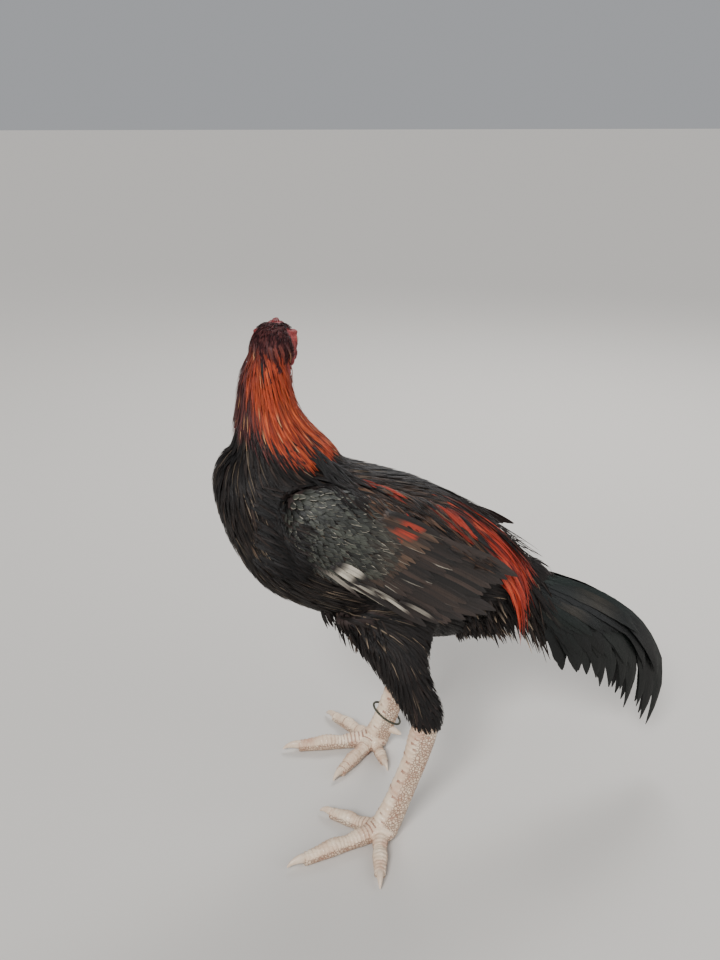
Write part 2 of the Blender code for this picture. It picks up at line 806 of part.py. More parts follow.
def tail_path(share, side, reach, off, deck):
    """A tail feather's run. Its distance from the middle grows along the tail and down the fan, and
    the upper feathers are rolled outwards, so that the two sides form a narrow roof."""
    leave, ending = TAIL_LEAVE[0].lerp(TAIL_LEAVE[1], share), TAIL_ENDING[0].lerp(TAIL_ENDING[1], share)
    root, tip = TAIL_ROOTS[0].lerp(TAIL_ROOTS[1], share), TAIL_TIPS[0].lerp(TAIL_TIPS[1], share)
    tip += Vector((5 * math.sin(23 * share), 0, TAIL_TIP_LIFT * 4 * share * (1 - share)))
    roll = TAIL_ROLL * (1 - share) ** 1.5
    out = Vector((0.3 * math.sin(roll), side * math.cos(roll), math.sin(roll)))
    whole = arc_path(root, leave, ending, tip, (out, out), TAIL_CURVE_STEPS)
    path = []
    for t in run_shares(TAIL_RUNS):
        place = whole[round(TAIL_CURVE_STEPS * reach * t)][0]
        along = (place.x - TAIL_ROOTS[0].x) / (TAIL_TIPS[0].x - TAIL_ROOTS[0].x)
        along = min(1.0, max(0.0, along))
        opened = 0.35 + 0.65 * min(1.0, along / 0.35)
        swell = TAIL_SPREAD * math.sin(0.8 * math.pi * along) * (0.12 + 0.88 * math.sqrt(share))
        spread = off + deck * opened + swell
        path.append((point(place.x, side * spread, place.z), out))
    return path


def make_tail():
    rings = []
    for top_x, top_z, bottom_x, bottom_z, half in smooth_rows(TAIL_STATIONS, 1):
        top, bottom = point(top_x, 0, top_z), point(bottom_x, 0, bottom_z)
        rings.append(oval((top + bottom) / 2, (top - bottom) / 2, Vector((0, half * MM, 0)), 12))
    tail = loft("tail", rings, TAIL_PLUMAGE)
    make_clearance(tail)
    feathers = []
    for count, first, last, top_width, low_width, reach, off in TAIL_LAYERS:
        for side in (-1, 1):
            for i in range(count):
                share = first + (last - first) * (i + 0.35 * (side > 0)) / (count - 1)
                width = (top_width + (low_width - top_width) * share) * MM
                path = tail_path(min(share, 1.0), side, reach, off, TAIL_DECK * i)
                feathers.append(vane(path, width, 0.45, 0.16))
    fuse(tail, feathers)
    cut_clear(tail, "torso", solver="MANIFOLD")
    return tail


# Legs: a feathered thigh, a scaled shank that leans forward to the foot, and four toes with claws.
# The stations are those of the left leg, with the outward direction positive.

THIGH_STATIONS = [
    (16, 42, 268, 62, 26),
    (27, 44, 243, 55, 25),
    (30, 56, 216, 41, 26),
    (36, 67, 191, 29, 24),
    (46, 75, 166, 24, 20.5),
    (56, 80, 144, 22.5, 18.5),
    (58, 82, 126, 18, 16),
]
SHANK_STATIONS = [
    (60, 82, 150, 13, 11.5),
    (57, 82.5, 136, 15.5, 13),
    (53, 83, 118, 15, 11.5),
    (46, 84, 92, 14.5, 10.5),
    (34, 86, 62, 14.5, 10.5),
    (23, 88.5, 36, 15, 11.5),
    (14, 90.5, 18, 16.5, 13),
]
HIP_HEIGHT = 268
SCUTES = 13
SCUTE_STEP = 0.9
PAD_RADII = (0.0205, 0.0175, 0.0125)
PAD_LIFT = 0.0105

# Each toe's bearing in degrees from straight ahead, outwards positive, then its length to the claw.
LEFT_TOES = {"inner": (-41, 64), "middle": (18, 93), "outer": (79, 66), "hind": (-140, 33)}
RIGHT_TOES = {"inner": (-48, 76), "middle": (3, 94), "outer": (58, 74), "hind": (-97, 46)}
CLAW_LENGTH = {"inner": 14, "middle": 18, "outer": 16, "hind": 12}
TOE_GIRTH = {"inner": 8.4, "middle": 9.2, "outer": 8.2, "hind": 7.0}
TOE_SWELLS = (1.10, 1.12, 0.93, 1.05, 0.90, 0.74)


def leg_stations(stations, side, foot):
    """The leg's stations on one side, drawn towards this foot more and more from the hip down."""
    shift = (foot - Vector((LEFT_FOOT.x, -side * LEFT_FOOT.y, 0))) / MM
    placed = []
    for x, y, z, half_long, half_wide in stations:
        share = min(1.0, max(0.0, 1 - z / HIP_HEIGHT))
        placed.append((x + shift.x * share, side * y + shift.y * share, z, half_long, half_wide))
    return placed


def scuted(stations, count, step):
    """The limb's stations divided into bands whose lower edge stands out, as raised scutes do."""
    rows = smooth_rows(stations, 8)
    banded = []
    for i in range(count):
        for share, swell in ((0.06, -0.35), (0.94, 0.65)):
            at = (i + share) / count * (len(rows) - 1)
            low = int(at)
            row = rows[low] + (rows[min(low + 1, len(rows) - 1)] - rows[low]) * (at - low)
            banded.append((*row[:3], row[3] + swell * step, row[4] + swell * step))
    return banded


def make_leg(label, side, foot, toes):
    thigh = limb("thigh_" + label, leg_stations(THIGH_STATIONS, side, foot), BLACK_PLUMAGE, 2, 12)
    make_clearance(thigh)
    cut_clear(thigh, "torso", "wing_" + label)
    scutes = scuted(leg_stations(SHANK_STATIONS, side, foot), SCUTES, SCUTE_STEP)
    shank = limb("shank_" + label, scutes, LEG_SCALE, 1, 10)
    make_clearance(shank)
    cut_clear(shank, "thigh_" + label)
    make_foot(label, side, foot, toes)
    make_spur(label, side, foot)


def toe_place(foot, side, bearing, reach):
    """The point in millimetres this far from the pad's middle along a toe's bearing."""
    angle = math.radians(bearing)
    return foot / MM + Vector((-math.cos(angle), side * math.sin(angle), 0)) * reach


def make_foot(label, side, foot, toes):
    """The pad under the shank, then four jointed toes that leave it, each with its claw."""
    pad = egg("pad", foot + Vector((0, 0, PAD_LIFT)), PAD_RADII, LEG_SCALE, segments=12, rings=6)
    pad = make_part(pad, "foot_" + label)
    for v in pad.data.vertices:
        v.co.z = max(v.co.z, 0.0)
    make_clearance(pad)
    cut_clear(pad, "shank_" + label)
    earlier = ["foot_" + label, "shank_" + label]
    for kind, (bearing, length) in toes.items():
        girth = TOE_GIRTH[kind]
        stations = []
        for i, swell in enumerate(TOE_SWELLS):
            place = toe_place(foot, side, bearing, 5 + (length - 5) * i / (len(TOE_SWELLS) - 1))
            half = girth * swell
            stations.append((place.x, place.y, half * 0.93, half, half * 0.95))
        toe = limb(f"toe_{kind}_{label}", stations, LEG_SCALE, 1, 8, 0.0)
        make_clearance(toe)
        cut_clear(toe, *earlier)
        earlier.append(toe.name)
        start = (foot, side, bearing, length)
        claw = make_claw(f"claw_{kind}_{label}", start, girth * TOE_SWELLS[-1], CLAW_LENGTH[kind])
        cut_clear(claw, toe.name)


# Along a claw: the share of its length, its size beside the toe's end, and its lift in millimetres.
CLAW_RUN = ((-0.15, 0.84, -0.2), (0.3, 0.68, 0.6), (0.7, 0.42, -0.6), (1.0, 0.13, -4.0))


def make_claw(name, start, girth, length):
    """A horn claw that leaves the toe's end face to face and arches down towards the floor."""
    foot, side, bearing, reach = start
    stations = []
    for share, size, lift in CLAW_RUN:
        place = toe_place(foot, side, bearing, reach + length * share)
        half = girth * size
        stations.append((place.x, place.y, max(girth * 0.92 + lift, half), half, half * 0.8))
    return limb(name, stations, CLAW_HORN, 1, 6, 0.0)


SPUR_HEIGHT = 30
SPUR_OUT = Vector((0.80, -0.52, -0.30)).normalized()
SPUR_LENGTH = {"left": 13, "right": 17}
SPUR_RUN = ((0.0, 5.6), (0.45, 4.8), (0.75, 3.4), (0.93, 1.9), (1.0, 0.9))


def shank_middle(side, foot, height):
    """The middle of the shank at this height, and the way up along it."""
    rows = leg_stations(SHANK_STATIONS, side, foot)
    for upper, lower in zip(rows, rows[1:]):
        if upper[2] >= height >= lower[2]:
            low, high = Vector(lower[:3]), Vector(upper[:3])
            return low.lerp(high, (height - low.z) / (high.z - low.z)), (high - low).normalized()
    raise ValueError("no shank at this height")


def make_spur(label, side, foot):
    """A blunt cone of horn on the inner back of the shank."""
    middle, _ = shank_middle(side, foot, SPUR_HEIGHT)
    out = Vector((SPUR_OUT.x, side * SPUR_OUT.y, SPUR_OUT.z))
    stations = []
    for share, half in SPUR_RUN:
        place = middle + out * (10 + SPUR_LENGTH[label]) * share
        stations.append((*place, half, half))
    spur = limb("spur_" + label, stations, CLAW_HORN, 1, 10)
    make_clearance(spur)
    cut_clear(spur, "shank_" + label)


RING_RADIUS = 0.0188
RING_TUBE = 0.0014
RING_HEIGHT = 46
RING_LEAN = math.radians(17)


def make_leg_ring(foot):
    """A loose dark band round the right shank, lying aslant on the spur."""
    middle, along = shank_middle(1, foot, RING_HEIGHT)
    axis = Matrix.Rotation(RING_LEAN, 3, "Y") @ along
    turn = Vector((0, 0, 1)).rotation_difference(axis).to_matrix().to_4x4()
    ring = hoop("ring", Matrix.Translation(middle * MM) @ turn, RING_RADIUS, RING_TUBE, RING_RUBBER, 18, 5)
    ring = make_part(ring, "leg_ring")
    cut_clear(ring, "shank_right", "spur_right")


def stand_on_origin():
    """Parents every part to one empty, which brings the middle of the whole bird's foot print to
    the origin."""
    holder = bpy.data.objects.new("bird", None)
    BIRD.objects.link(holder)
    parts = [obj for obj in BIRD.objects if obj.type == "MESH"]
    places = np.array([v.co for part in parts for v in part.data.vertices])
    low, high = places.min(0), places.max(0)
    for part in parts:
        part.parent = holder
    holder.location = (-(low[0] + high[0]) / 2, -(low[1] + high[1]) / 2, -low[2])


def build():
    torso = make_torso()
    neck = make_neck()
    make_head()
    wings = [make_wing("wing_left", -1, 0), make_wing("wing_right", 1, RIGHT_WING_DROP)]
    add_hackle(neck, torso)
    cut_clear(neck, "torso", "head", "wing_left", "wing_right", solver="MANIFOLD")
    poses = ((-1, 0, Vector((0, 0))), (1, RIGHT_WING_DROP, RIGHT_TIP_SHIFT))
    for wing, (side, drop, tip_shift) in zip(wings, poses):
        add_flight(wing, side, drop, tip_shift)
        cut_clear(wing, "torso", "neck", solver="MANIFOLD")
    make_tail()
    add_saddle(torso)
    make_leg("left", -1, LEFT_FOOT, LEFT_TOES)
    make_leg("right", 1, RIGHT_FOOT, RIGHT_TOES)
    make_leg_ring(RIGHT_FOOT)
    stand_on_origin()


build()
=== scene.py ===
"""The looks of a standing Aseel gamecock: skin, scales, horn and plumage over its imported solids.

Metres, +Z up. The bird faces -X with its left side towards -Y, and its head is turned over its
right shoulder. Numbers in millimetres are in the bird's own frame, which SHIFT brings to the
packed one.
"""

import math

import bmesh
import bpy
import numpy as np
from mathutils import Matrix, Vector, noise
from mathutils.bvhtree import BVHTree


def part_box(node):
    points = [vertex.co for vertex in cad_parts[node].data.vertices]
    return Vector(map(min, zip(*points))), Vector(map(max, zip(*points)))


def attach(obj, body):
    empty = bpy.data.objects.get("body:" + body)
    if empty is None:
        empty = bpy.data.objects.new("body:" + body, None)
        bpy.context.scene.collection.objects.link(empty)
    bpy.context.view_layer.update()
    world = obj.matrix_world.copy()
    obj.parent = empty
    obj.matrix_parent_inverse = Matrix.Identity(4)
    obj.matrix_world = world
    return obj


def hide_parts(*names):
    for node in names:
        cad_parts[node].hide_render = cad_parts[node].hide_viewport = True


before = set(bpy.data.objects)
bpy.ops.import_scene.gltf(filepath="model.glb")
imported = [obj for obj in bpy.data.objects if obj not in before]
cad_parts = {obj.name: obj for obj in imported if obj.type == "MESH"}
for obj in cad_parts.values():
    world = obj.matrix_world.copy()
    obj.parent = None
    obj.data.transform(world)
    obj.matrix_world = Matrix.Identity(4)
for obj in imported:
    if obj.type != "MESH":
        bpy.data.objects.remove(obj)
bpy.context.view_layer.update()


# Body skin: the loose skin of neck, trunk, the arms of the wings, thighs and tail root. It is one
# closed surface, drawn from rounded forms that stand inside the solids by the depth of the coat.

MM = 0.001
LEFT_FOOT = Vector((0.006, -0.092, 0.0))
RIGHT_FOOT = Vector((0.030, 0.077, 0.0))
pad_low, pad_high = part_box("foot_left")
SHIFT = Vector(((pad_low.x + pad_high.x) / 2, (pad_low.y + pad_high.y) / 2, 0.0)) - LEFT_FOOT
LEGS = (("left", -1, LEFT_FOOT), ("right", 1, RIGHT_FOOT))

# Side outlines: top x, top z, bottom x, bottom z, half width and, on the trunk, the keel.
TRUNK = [
    (-149, 403, -150, 380, 16, 0.0),
    (-137, 424, -146, 356, 42, 0.0),
    (-110, 434, -133, 316, 57, 0.05),
    (-68, 428, -104, 270, 66, 0.15),
    (-22, 411, -62, 243, 70, 0.25),
    (24, 397, -14, 224, 70, 0.25),
    (68, 381, 34, 206, 69, 0.15),
    (108, 356, 82, 196, 64, 0.0),
    (141, 328, 124, 200, 55, 0.0),
    (167, 304, 153, 214, 42, 0.0),
    (184, 286, 174, 238, 26, 0.0),
]
WING_ARM = [
    (-85, 386, -86, 366, 7, 0.0),
    (-76, 400, -80, 344, 17, 0.0),
    (-54, 404, -64, 320, 22, 0.0),
    (-22, 397, -36, 300, 23, 0.0),
    (14, 382, -2, 290, 19, 0.0),
    (46, 362, 32, 292, 12, 0.0),
    (68, 342, 60, 300, 6, 0.0),
]
TAIL_ROOT = [
    (180, 284, 170, 240, 17, 0.0),
    (194, 283, 182, 222, 20, 0.0),
    (208, 275, 196, 214, 18, 0.0),
    (221, 262, 210, 218, 13, 0.0),
    (230, 250, 222, 232, 6, 0.0),
]
# Limbs: the middle, then the half size along the bird and the half size across it.
NECK = [
    (-70, 0, 378, 64, 52),
    (-84, 0, 412, 56, 50),
    (-91, 0, 437, 45, 43),
    (-95, 0, 462, 35.5, 35),
    (-96, -1, 488, 30.5, 30),
    (-93, -2, 510, 27.5, 27),
    (-90, -2, 528, 23, 22),
]
THIGH = [
    (16, 42, 268, 62, 26),
    (27, 44, 243, 55, 25),
    (30, 56, 216, 41, 26),
    (36, 67, 191, 29, 24),
    (46, 75, 166, 24, 20.5),
    (56, 80, 144, 22.5, 18.5),
    (58, 82, 126, 18, 16),
]
WING_SPREAD = 63
RIGHT_WING_DROP = 13
HIP_HEIGHT = 268
COAT_DEPTH = {"trunk": 5.0, "arm": 3.0, "tail": 4.0, "neck": 6.0, "thigh": 4.5}
SKIN_VOXEL = 0.004


def at(x, y, z):
    """A place given in millimetres of the bird's own frame."""
    return Vector((x, y, z)) * MM + SHIFT


def paint(*screen):
    """A colour given as the numbers of a screen, from 0 to 255, made linear."""
    return tuple(c / 255 / 12.92 if c < 10 else ((c / 255 + 0.055) / 1.055) ** 2.4 for c in screen)


def through(rows, steps):
    """Rows of numbers along a smooth curve through these rows, so many steps from each to the next."""
    rows = np.array(rows, float)
    ends = np.vstack([2 * rows[0] - rows[1], rows, 2 * rows[-1] - rows[-2]])
    t = np.arange(steps)[:, None] / steps
    made = []
    for before, start, stop, after in zip(ends, ends[1:], ends[2:], ends[3:]):
        bend = 2 * before - 5 * start + 4 * stop - after
        twist = 3 * start - before - 3 * stop + after
        made.append(0.5 * (2 * start + (stop - before) * t + bend * t**2 + twist * t**3))
    return np.vstack([*made, rows[-1]])


def ring(centre, up, side, count, keel=0.0):
    """A round section. The keel draws its lower half in towards a ridge."""
    turn = 2 * math.pi * (np.arange(count) + 0.5) / count
    height, width = np.cos(turn), np.sin(turn)
    width = np.where(height < 0, width * (1 - keel * height**2), width)
    return np.array(centre) + np.outer(height, np.array(up)) + np.outer(width, np.array(side))


def linked(name, data):
    """A new object of this name in the scene, with this mesh, lamp or camera in it."""
    made = bpy.data.objects.new(name, data)
    bpy.context.scene.collection.objects.link(made)
    return made


def skinned(name, rings):
    """A closed mesh over equally long rings, with a pole at each end."""
    count, rounds = len(rings[0]), len(rings)
    places = np.vstack([*rings, rings[0].mean(0), rings[-1].mean(0)])
    here = np.arange(rounds - 1)[:, None] * count + np.arange(count)
    onward = np.arange(rounds - 1)[:, None] * count + (np.arange(count) + 1) % count
    faces = np.stack([here, onward, onward + count, here + count], -1).reshape(-1, 4).tolist()
    first, last = rounds * count, (rounds - 1) * count
    for k in range(count):
        faces.append((k, first, (k + 1) % count))
        faces.append((last + (k + 1) % count, first + 1, last + k))
    mesh = bpy.data.meshes.new(name)
    mesh.from_pydata([tuple(p) for p in places], [], faces)
    bm = bmesh.new()
    bm.from_mesh(mesh)
    bmesh.ops.recalc_face_normals(bm, faces=bm.faces)
    bm.to_mesh(mesh)
    bm.free()
    return linked(name, mesh)


def outline_rings(rows, steps, count, inset=0.0, y=0.0):
    """Rings along a side outline, each drawn in by the inset."""
    rings = []
    for top_x, top_z, low_x, low_z, half, keel in through(rows, steps):
        top, low = at(top_x, y, top_z), at(low_x, y, low_z)
        up = (top - low) / 2
        up *= max(0.3, 1 - inset * MM / up.length)
        side = Vector((0, max(half - inset, 0.3 * half) * MM, 0))
        rings.append(ring((top + low) / 2, up, side, count, max(keel, 0.0)))
    return rings


def limb_rings(rows, steps, count, inset=0.0):
    """Rings across a limb's run, upright ones where the limb lies more than it stands."""
    rows = through(rows, steps)
    middles = [at(*row[:3]) for row in rows]
    run = middles[-1] - middles[0]
    level = Vector((run.x, run.y, 0))
    across = Vector((0, 1, 0))
    if abs(run.z) <= level.length:
        across = level.cross(Vector((0, 0, 1))).normalized()
    rings = []
    for i, row in enumerate(rows):
        ahead = (middles[min(i + 1, len(rows) - 1)] - middles[max(i - 1, 0)]).normalized()
        long = across.cross(ahead).normalized() * max(row[3] - inset, 0.3 * row[3]) * MM
        rings.append(ring(middles[i], long, across * max(row[4] - inset, 0.3 * row[4]) * MM, count))
    return rings


def leg_rows(rows, side, foot):
    """A left leg's rows, drawn towards this foot more and more from the hip down."""
    shift = (foot - Vector((LEFT_FOOT.x, -side * LEFT_FOOT.y, 0))) / MM
    drawn = []
    for x, y, z, long, wide in rows:
        share = min(1.0, max(0.0, 1 - z / HIP_HEIGHT))
        drawn.append((x + shift.x * share, side * y + shift.y * share, z, long, wide))
    return drawn


def remeshed(name, forms, voxel, rounds):
    """One smooth closed skin over overlapping closed forms, which it uses up."""
    bm = bmesh.new()
    for form in forms:
        form.data.transform(form.matrix_world)
        bm.from_mesh(form.data)
        bpy.data.objects.remove(form)
    mesh = bpy.data.meshes.new(name)
    bm.to_mesh(mesh)
    bm.free()
    made = linked(name, mesh)
    remesh = made.modifiers.new("close", "REMESH")
    remesh.mode = "VOXEL"
    remesh.voxel_size = voxel
    soften = made.modifiers.new("soften", "SMOOTH")
    soften.factor = 0.5
    soften.iterations = rounds
    graph = bpy.context.evaluated_depsgraph_get()
    closed = bpy.data.meshes.new_from_object(made.evaluated_get(graph))
    made.modifiers.clear()
    made.data = closed
    closed.shade_smooth()
    return made


def unwrapped(thing):
    """Gives the object a map of its own unwrapped shape."""
    bpy.context.view_layer.objects.active = thing
    thing.data.uv_layers.new(name="OFBake")
    bpy.ops.object.mode_set(mode="EDIT")
    bpy.ops.mesh.select_all(action="SELECT")
    bpy.ops.uv.smart_project(angle_limit=math.radians(66), island_margin=0.004)
    bpy.ops.object.mode_set(mode="OBJECT")
    thing.select_set(False)


class Wire:
    """A socket that plain expressions can be written with. Each operator adds its own Math node."""

    def __init__(self, tree, socket):
        self.tree, self.socket = tree, socket

    def math(self, operation, *others):
        node = self.tree.nodes.new("ShaderNodeMath")
        node.operation = operation
        for slot, value in zip(node.inputs, (self, *others)):
            join(self.tree, value, slot)
        return Wire(self.tree, node.outputs[0])

    def __add__(self, other):
        return self.math("ADD", other)

    def __sub__(self, other):
        return self.math("SUBTRACT", other)

    def __rsub__(self, other):
        return (self * -1.0).math("ADD", other)

    def __mul__(self, other):
        return self.math("MULTIPLY", other)

    def __abs__(self):
        return self.math("ABSOLUTE")

    def between(self, low, high):
        """0 below low, 1 above high and a smooth rise between them."""
        node = self.tree.nodes.new("ShaderNodeMapRange")
        node.interpolation_type = "SMOOTHSTEP"
        for name, value in (("Value", self), ("From Min", low), ("From Max", high)):
            join(self.tree, value, node.inputs[name])
        return Wire(self.tree, node.outputs["Result"])

    __radd__, __rmul__ = __add__, __mul__


def join(tree, value, slot):
    """Feeds a socket from a wire, or sets its own value."""
    if isinstance(value, Wire):
        tree.links.new(value.socket, slot)
    elif slot.type == "RGBA":
        slot.default_value = (*value, 1.0)
    else:
        slot.default_value = value


class Finish:
    """A material under construction, with what its colour and its relief are made from."""

    def __init__(self, name, roughness, coat=0.0, specular=0.5):
        self.material = bpy.data.materials.new(name)
        self.material.use_nodes = True
        self.tree = self.material.node_tree
        self.shader = self.tree.nodes["Principled BSDF"]
        levels = {"Roughness": roughness, "Coat Weight": coat, "Specular IOR Level": specular}
        for title, level in levels.items():
            self.shader.inputs[title].default_value = level
        self.where = self.wire("ShaderNodeTexCoord", output="Object")

    def wire(self, kind, settings=None, output=None, **values):
        """Adds a node and gives its named output, or its first one, to write expressions with.
        Its settings come first, then the values or wires of its sockets."""
        node = self.tree.nodes.new(kind)
        for title, value in (settings or {}).items():
            setattr(node, title, value)
        for title, value in values.items():
            join(self.tree, value, next(s for s in node.inputs if s.name == title and s.enabled))
        outputs = [s for s in node.outputs if s.enabled]
        return Wire(self.tree, next((s for s in outputs if s.name == output), outputs[0]))

    def mix(self, share, one, two, blend="MIX"):
        """Colour one, and colour two where the share is 1."""
        node = self.tree.nodes.new("ShaderNodeMix")
        node.data_type, node.blend_type = "RGBA", blend
        for title, value in (("Factor_Float", share), ("A_Color", one), ("B_Color", two)):
            join(self.tree, value, next(s for s in node.inputs if s.identifier == title))
        return Wire(self.tree, next(s for s in node.outputs if s.identifier == "Result_Color"))

    def noise(self, scale, detail=3.0, rough=0.55, where=None):
        """Soft blotches, drawn by the object's own coordinates or by this other place."""
        values = {"Vector": where or self.where, "Scale": scale, "Detail": detail, "Roughness": rough}
        return self.wire("ShaderNodeTexNoise", None, "Fac", **values)

    def cells(self, scale, feature="F1"):
        """Pebbles: how far each point lies from the middle of its own one, or from its edge."""
        settings = {"feature": feature}
        return self.wire("ShaderNodeTexVoronoi", settings, "Distance", Vector=self.where, Scale=scale)

    def own(self, title, output="Fac"):
        """What the mesh itself carries under this title."""
        return self.wire("ShaderNodeAttribute", {"attribute_name": title}, output)

    def point(self, x, y, z):
        """Three numbers as one place."""
        return self.wire("ShaderNodeCombineXYZ", X=x, Y=y, Z=z)

    def dress(self, colour, height=None, distance=0.0, strength=1.0):
        """Gives the shader its colour and, where there is a height, a bump of it."""
        join(self.tree, colour, self.shader.inputs["Base Color"])
        if height is not None:
            bump = self.wire("ShaderNodeBump", Height=height, Distance=distance, Strength=strength)
            join(self.tree, bump, self.shader.inputs["Normal"])


def placed(thing, finish, slot, *nodes):
    """Gives a finished piece its material and its place on the bird. The slot is not used."""
    thing.data.materials.clear()
    thing.data.materials.append(finish.material)
    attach(thing, "root")
    if nodes:
        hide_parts(*nodes)


forms = [skinned("trunk", outline_rings(TRUNK, 6, 48, COAT_DEPTH["trunk"]))]
forms.append(skinned("neck_form", limb_rings(NECK, 5, 40, COAT_DEPTH["neck"])))
forms.append(skinned("tail_root", outline_rings(TAIL_ROOT, 4, 24, COAT_DEPTH["tail"])))
for _, side, foot in LEGS:
    drop = RIGHT_WING_DROP * (side > 0)
    arm = [(x, z - drop, low_x, low_z - drop, half, keel) for x, z, low_x, low_z, half, keel in WING_ARM]
    forms.append(skinned("arm", outline_rings(arm, 5, 32, COAT_DEPTH["arm"], side * WING_SPREAD)))
    forms.append(skinned("thigh_form", limb_rings(leg_rows(THIGH, side, foot), 5, 32, COAT_DEPTH["thigh"])))
body_skin = remeshed("body_skin", forms, SKIN_VOXEL, 6)
unwrapped(body_skin)

bare_skin = Finish("plucked_skin", 0.7)
colour = bare_skin.mix(bare_skin.noise(60.0), paint(30, 22, 20), paint(52, 36, 32))
bare_skin.dress(colour, bare_skin.noise(700.0), 0.0006)
placed(body_skin, bare_skin, "black_plumage", "torso", "neck", "thigh_left", "thigh_right")


# Head skin: bare, pebbled red skin over a broad skull, with heavy brows, full cheeks, round lids,
# small red lobes and a fold under the throat. It runs down inside the feathers of the neck.

HEAD_PLACE = Vector((-86.5, 4, 528))
HEAD_TURN = math.radians(-108)
HEAD_NOD = math.radians(4)
HEAD = (
    Matrix.Translation(at(*HEAD_PLACE))
    @ Matrix.Rotation(HEAD_TURN, 4, "Z")
    @ Matrix.Rotation(HEAD_NOD, 4, "Y")
)
FROM_HEAD = HEAD.inverted()
SKULL = [
    (26, 4, 25, -12, 9, 0.0),
    (21, 14, 19, -20, 16.5, 0.0),
    (11, 20.5, 8, -24, 20.5, 0.1),
    (-1, 23, -3, -24, 22.5, 0.2),
    (-12, 22, -13, -21.5, 21.5, 0.25),
    (-21, 18.5, -22, -17.5, 17, 0.25),
    (-29, 12.5, -29, -13.5, 12, 0.2),
    (-34, 6, -34, -9, 7, 0.0),
]
THROAT = [
    (-95, -1, 484, 22, 22),
    (-95, -1, 494, 24.2, 24),
    (-93, -1, 503, 23, 23),
    (-91, -1, 513, 21.5, 21.5),
    (-89, 2, 526, 20, 20),
]
EYE_PLACE = (-11.5, 17.2, 4.5)
EYE_RADIUS = 6.2
EYE_LOOK = math.radians(12)
# Lids round each eye: radius, thickness, how flat, and how far out of the socket.
LIDS = ((5.9, 1.5, 0.80, 3.6), (7.4, 1.2, 0.84, 2.0))
# Brow, cheek, jaw, lobe and the ear's edge on each side: place, radii and turn.
BROW_TURN = Matrix.Rotation(math.radians(-14), 3, "Y")
SIDE_FORMS = (
    ((-13, 17.5, 11.5), (11, 4.5, 3.2), BROW_TURN),
    ((-8, 15, -9), (13, 7.2, 8.5), Matrix()),
    ((-21, 11.0, -8), (8, 5, 5), Matrix()),
    ((8, 20.2, -9), (4.8, 2.8, 7.2), Matrix()),
    ((6, 19.8, 0.5), (3.6, 2.4, 3.2), Matrix()),
)
# The two folds under the beak and the throat: place and radii.
THROAT_FOLDS = (((-12, 0, -23), (14, 3.4, 8.5)), ((-22, 0, -17), (8, 5.5, 4.5)))
FOLD_PITCH = 1.9
FOLD_RISE = 0.24
WRINKLE_RISE = 0.10
EAR_DEPTH = 1.6
# Fine wrinkles in three directions: from one to the next, and their bearing.
WRINKLES = ((2.3, 0.5), (3.1, -0.8), (1.7, 1.5))
HEAD_VOXEL = 0.0007


def ball(name, matrix, around, along, radius=1.0):
    """A closed ball, brought to its form and its place by this matrix."""
    bm = bmesh.new()
    bmesh.ops.create_uvsphere(bm, u_segments=around, v_segments=along, radius=radius)
    bmesh.ops.transform(bm, matrix=matrix, verts=bm.verts)
    mesh = bpy.data.meshes.new(name)
    bm.to_mesh(mesh)
    bm.free()
    return linked(name, mesh)


def egg(place, radii, turn=Matrix(), count=24):
    """A closed ball with three radii in the head's own millimetres."""
    girth = Matrix.Diagonal((*(Vector(radii) * MM), 1))
    shape = Matrix.Translation(Vector(place) * MM) @ turn.to_4x4() @ girth
    return ball("egg", HEAD @ shape, count, count // 2)


def head_loft(name, rows, steps, count, widest=0.0):
    """A loft along the head's own side outline. Its sections are widest at this share of their
    half height over the middle."""
    rings = []
    for top_x, top_z, low_x, low_z, half, keel in through(rows, steps):
        top, low = Vector((top_x, 0, top_z)) * MM, Vector((low_x, 0, low_z)) * MM
        section = ring((0, 0, 0), (0, 0, 1), (0, half * MM, 0), count, max(keel, 0.0))
        level = widest + section[:, 2] * np.where(section[:, 2] > 0, 1 - widest, 1 + widest)
        section = np.outer(1 + level, (top - low) / 2) + section * (0, 1, 0) + np.array(low)
        rings.append(np.array([HEAD @ Vector(p) for p in section]))
    return skinned(name, rings)


def eye_frame(side):
    """A frame in the middle of the eye whose Z axis looks out of it."""
    out = Vector((-math.sin(EYE_LOOK), side * math.cos(EYE_LOOK), 0.06)).normalized()
    along = (Vector((1, 0, 0)) - out * out.x).normalized()
    turn = Matrix((along, out.cross(along), out)).transposed()
    middle = Vector((EYE_PLACE[0], side * EYE_PLACE[1], EYE_PLACE[2])) * MM
    return HEAD @ Matrix.Translation(middle) @ turn.to_4x4()


def hoop(name, frame_matrix, radius, tube, squash=1.0, stand=0.0, count=40, sides=14):
    """A closed hoop in millimetres of this frame, a little wider along its X than across."""
    turn, roll = 2 * np.pi * np.arange(count) / count, 2 * np.pi * np.arange(sides) / sides
    reach = radius + tube * np.cos(roll)
    x = np.outer(np.cos(turn), reach) * 1.06
    y = np.outer(np.sin(turn), reach) * squash
    z = np.broadcast_to(tube * np.sin(roll) + stand, x.shape)
    places = [frame_matrix @ (Vector(p) * MM) for p in np.stack([x, y, z], -1).reshape(-1, 3)]
    faces = []
    for i in range(count):
        for k in range(sides):
            j, m = (i + 1) % count, (k + 1) % sides
            faces.append((i * sides + k, j * sides + k, j * sides + m, i * sides + m))
    mesh = bpy.data.meshes.new(name)
    mesh.from_pydata(places, [], faces)
    return linked(name, mesh)


def in_head(places):
    """These places in the head's own millimetres."""
    return np.array([FROM_HEAD @ Vector(p) for p in places]) / MM


def closeness(local, x, z, spread):
    """How near places of the head lie to this one, seen from the side, from 0 far off up to 1."""
    return np.exp(-((local[:, 0] - x) ** 2 + (local[:, 2] - z) ** 2) / spread)


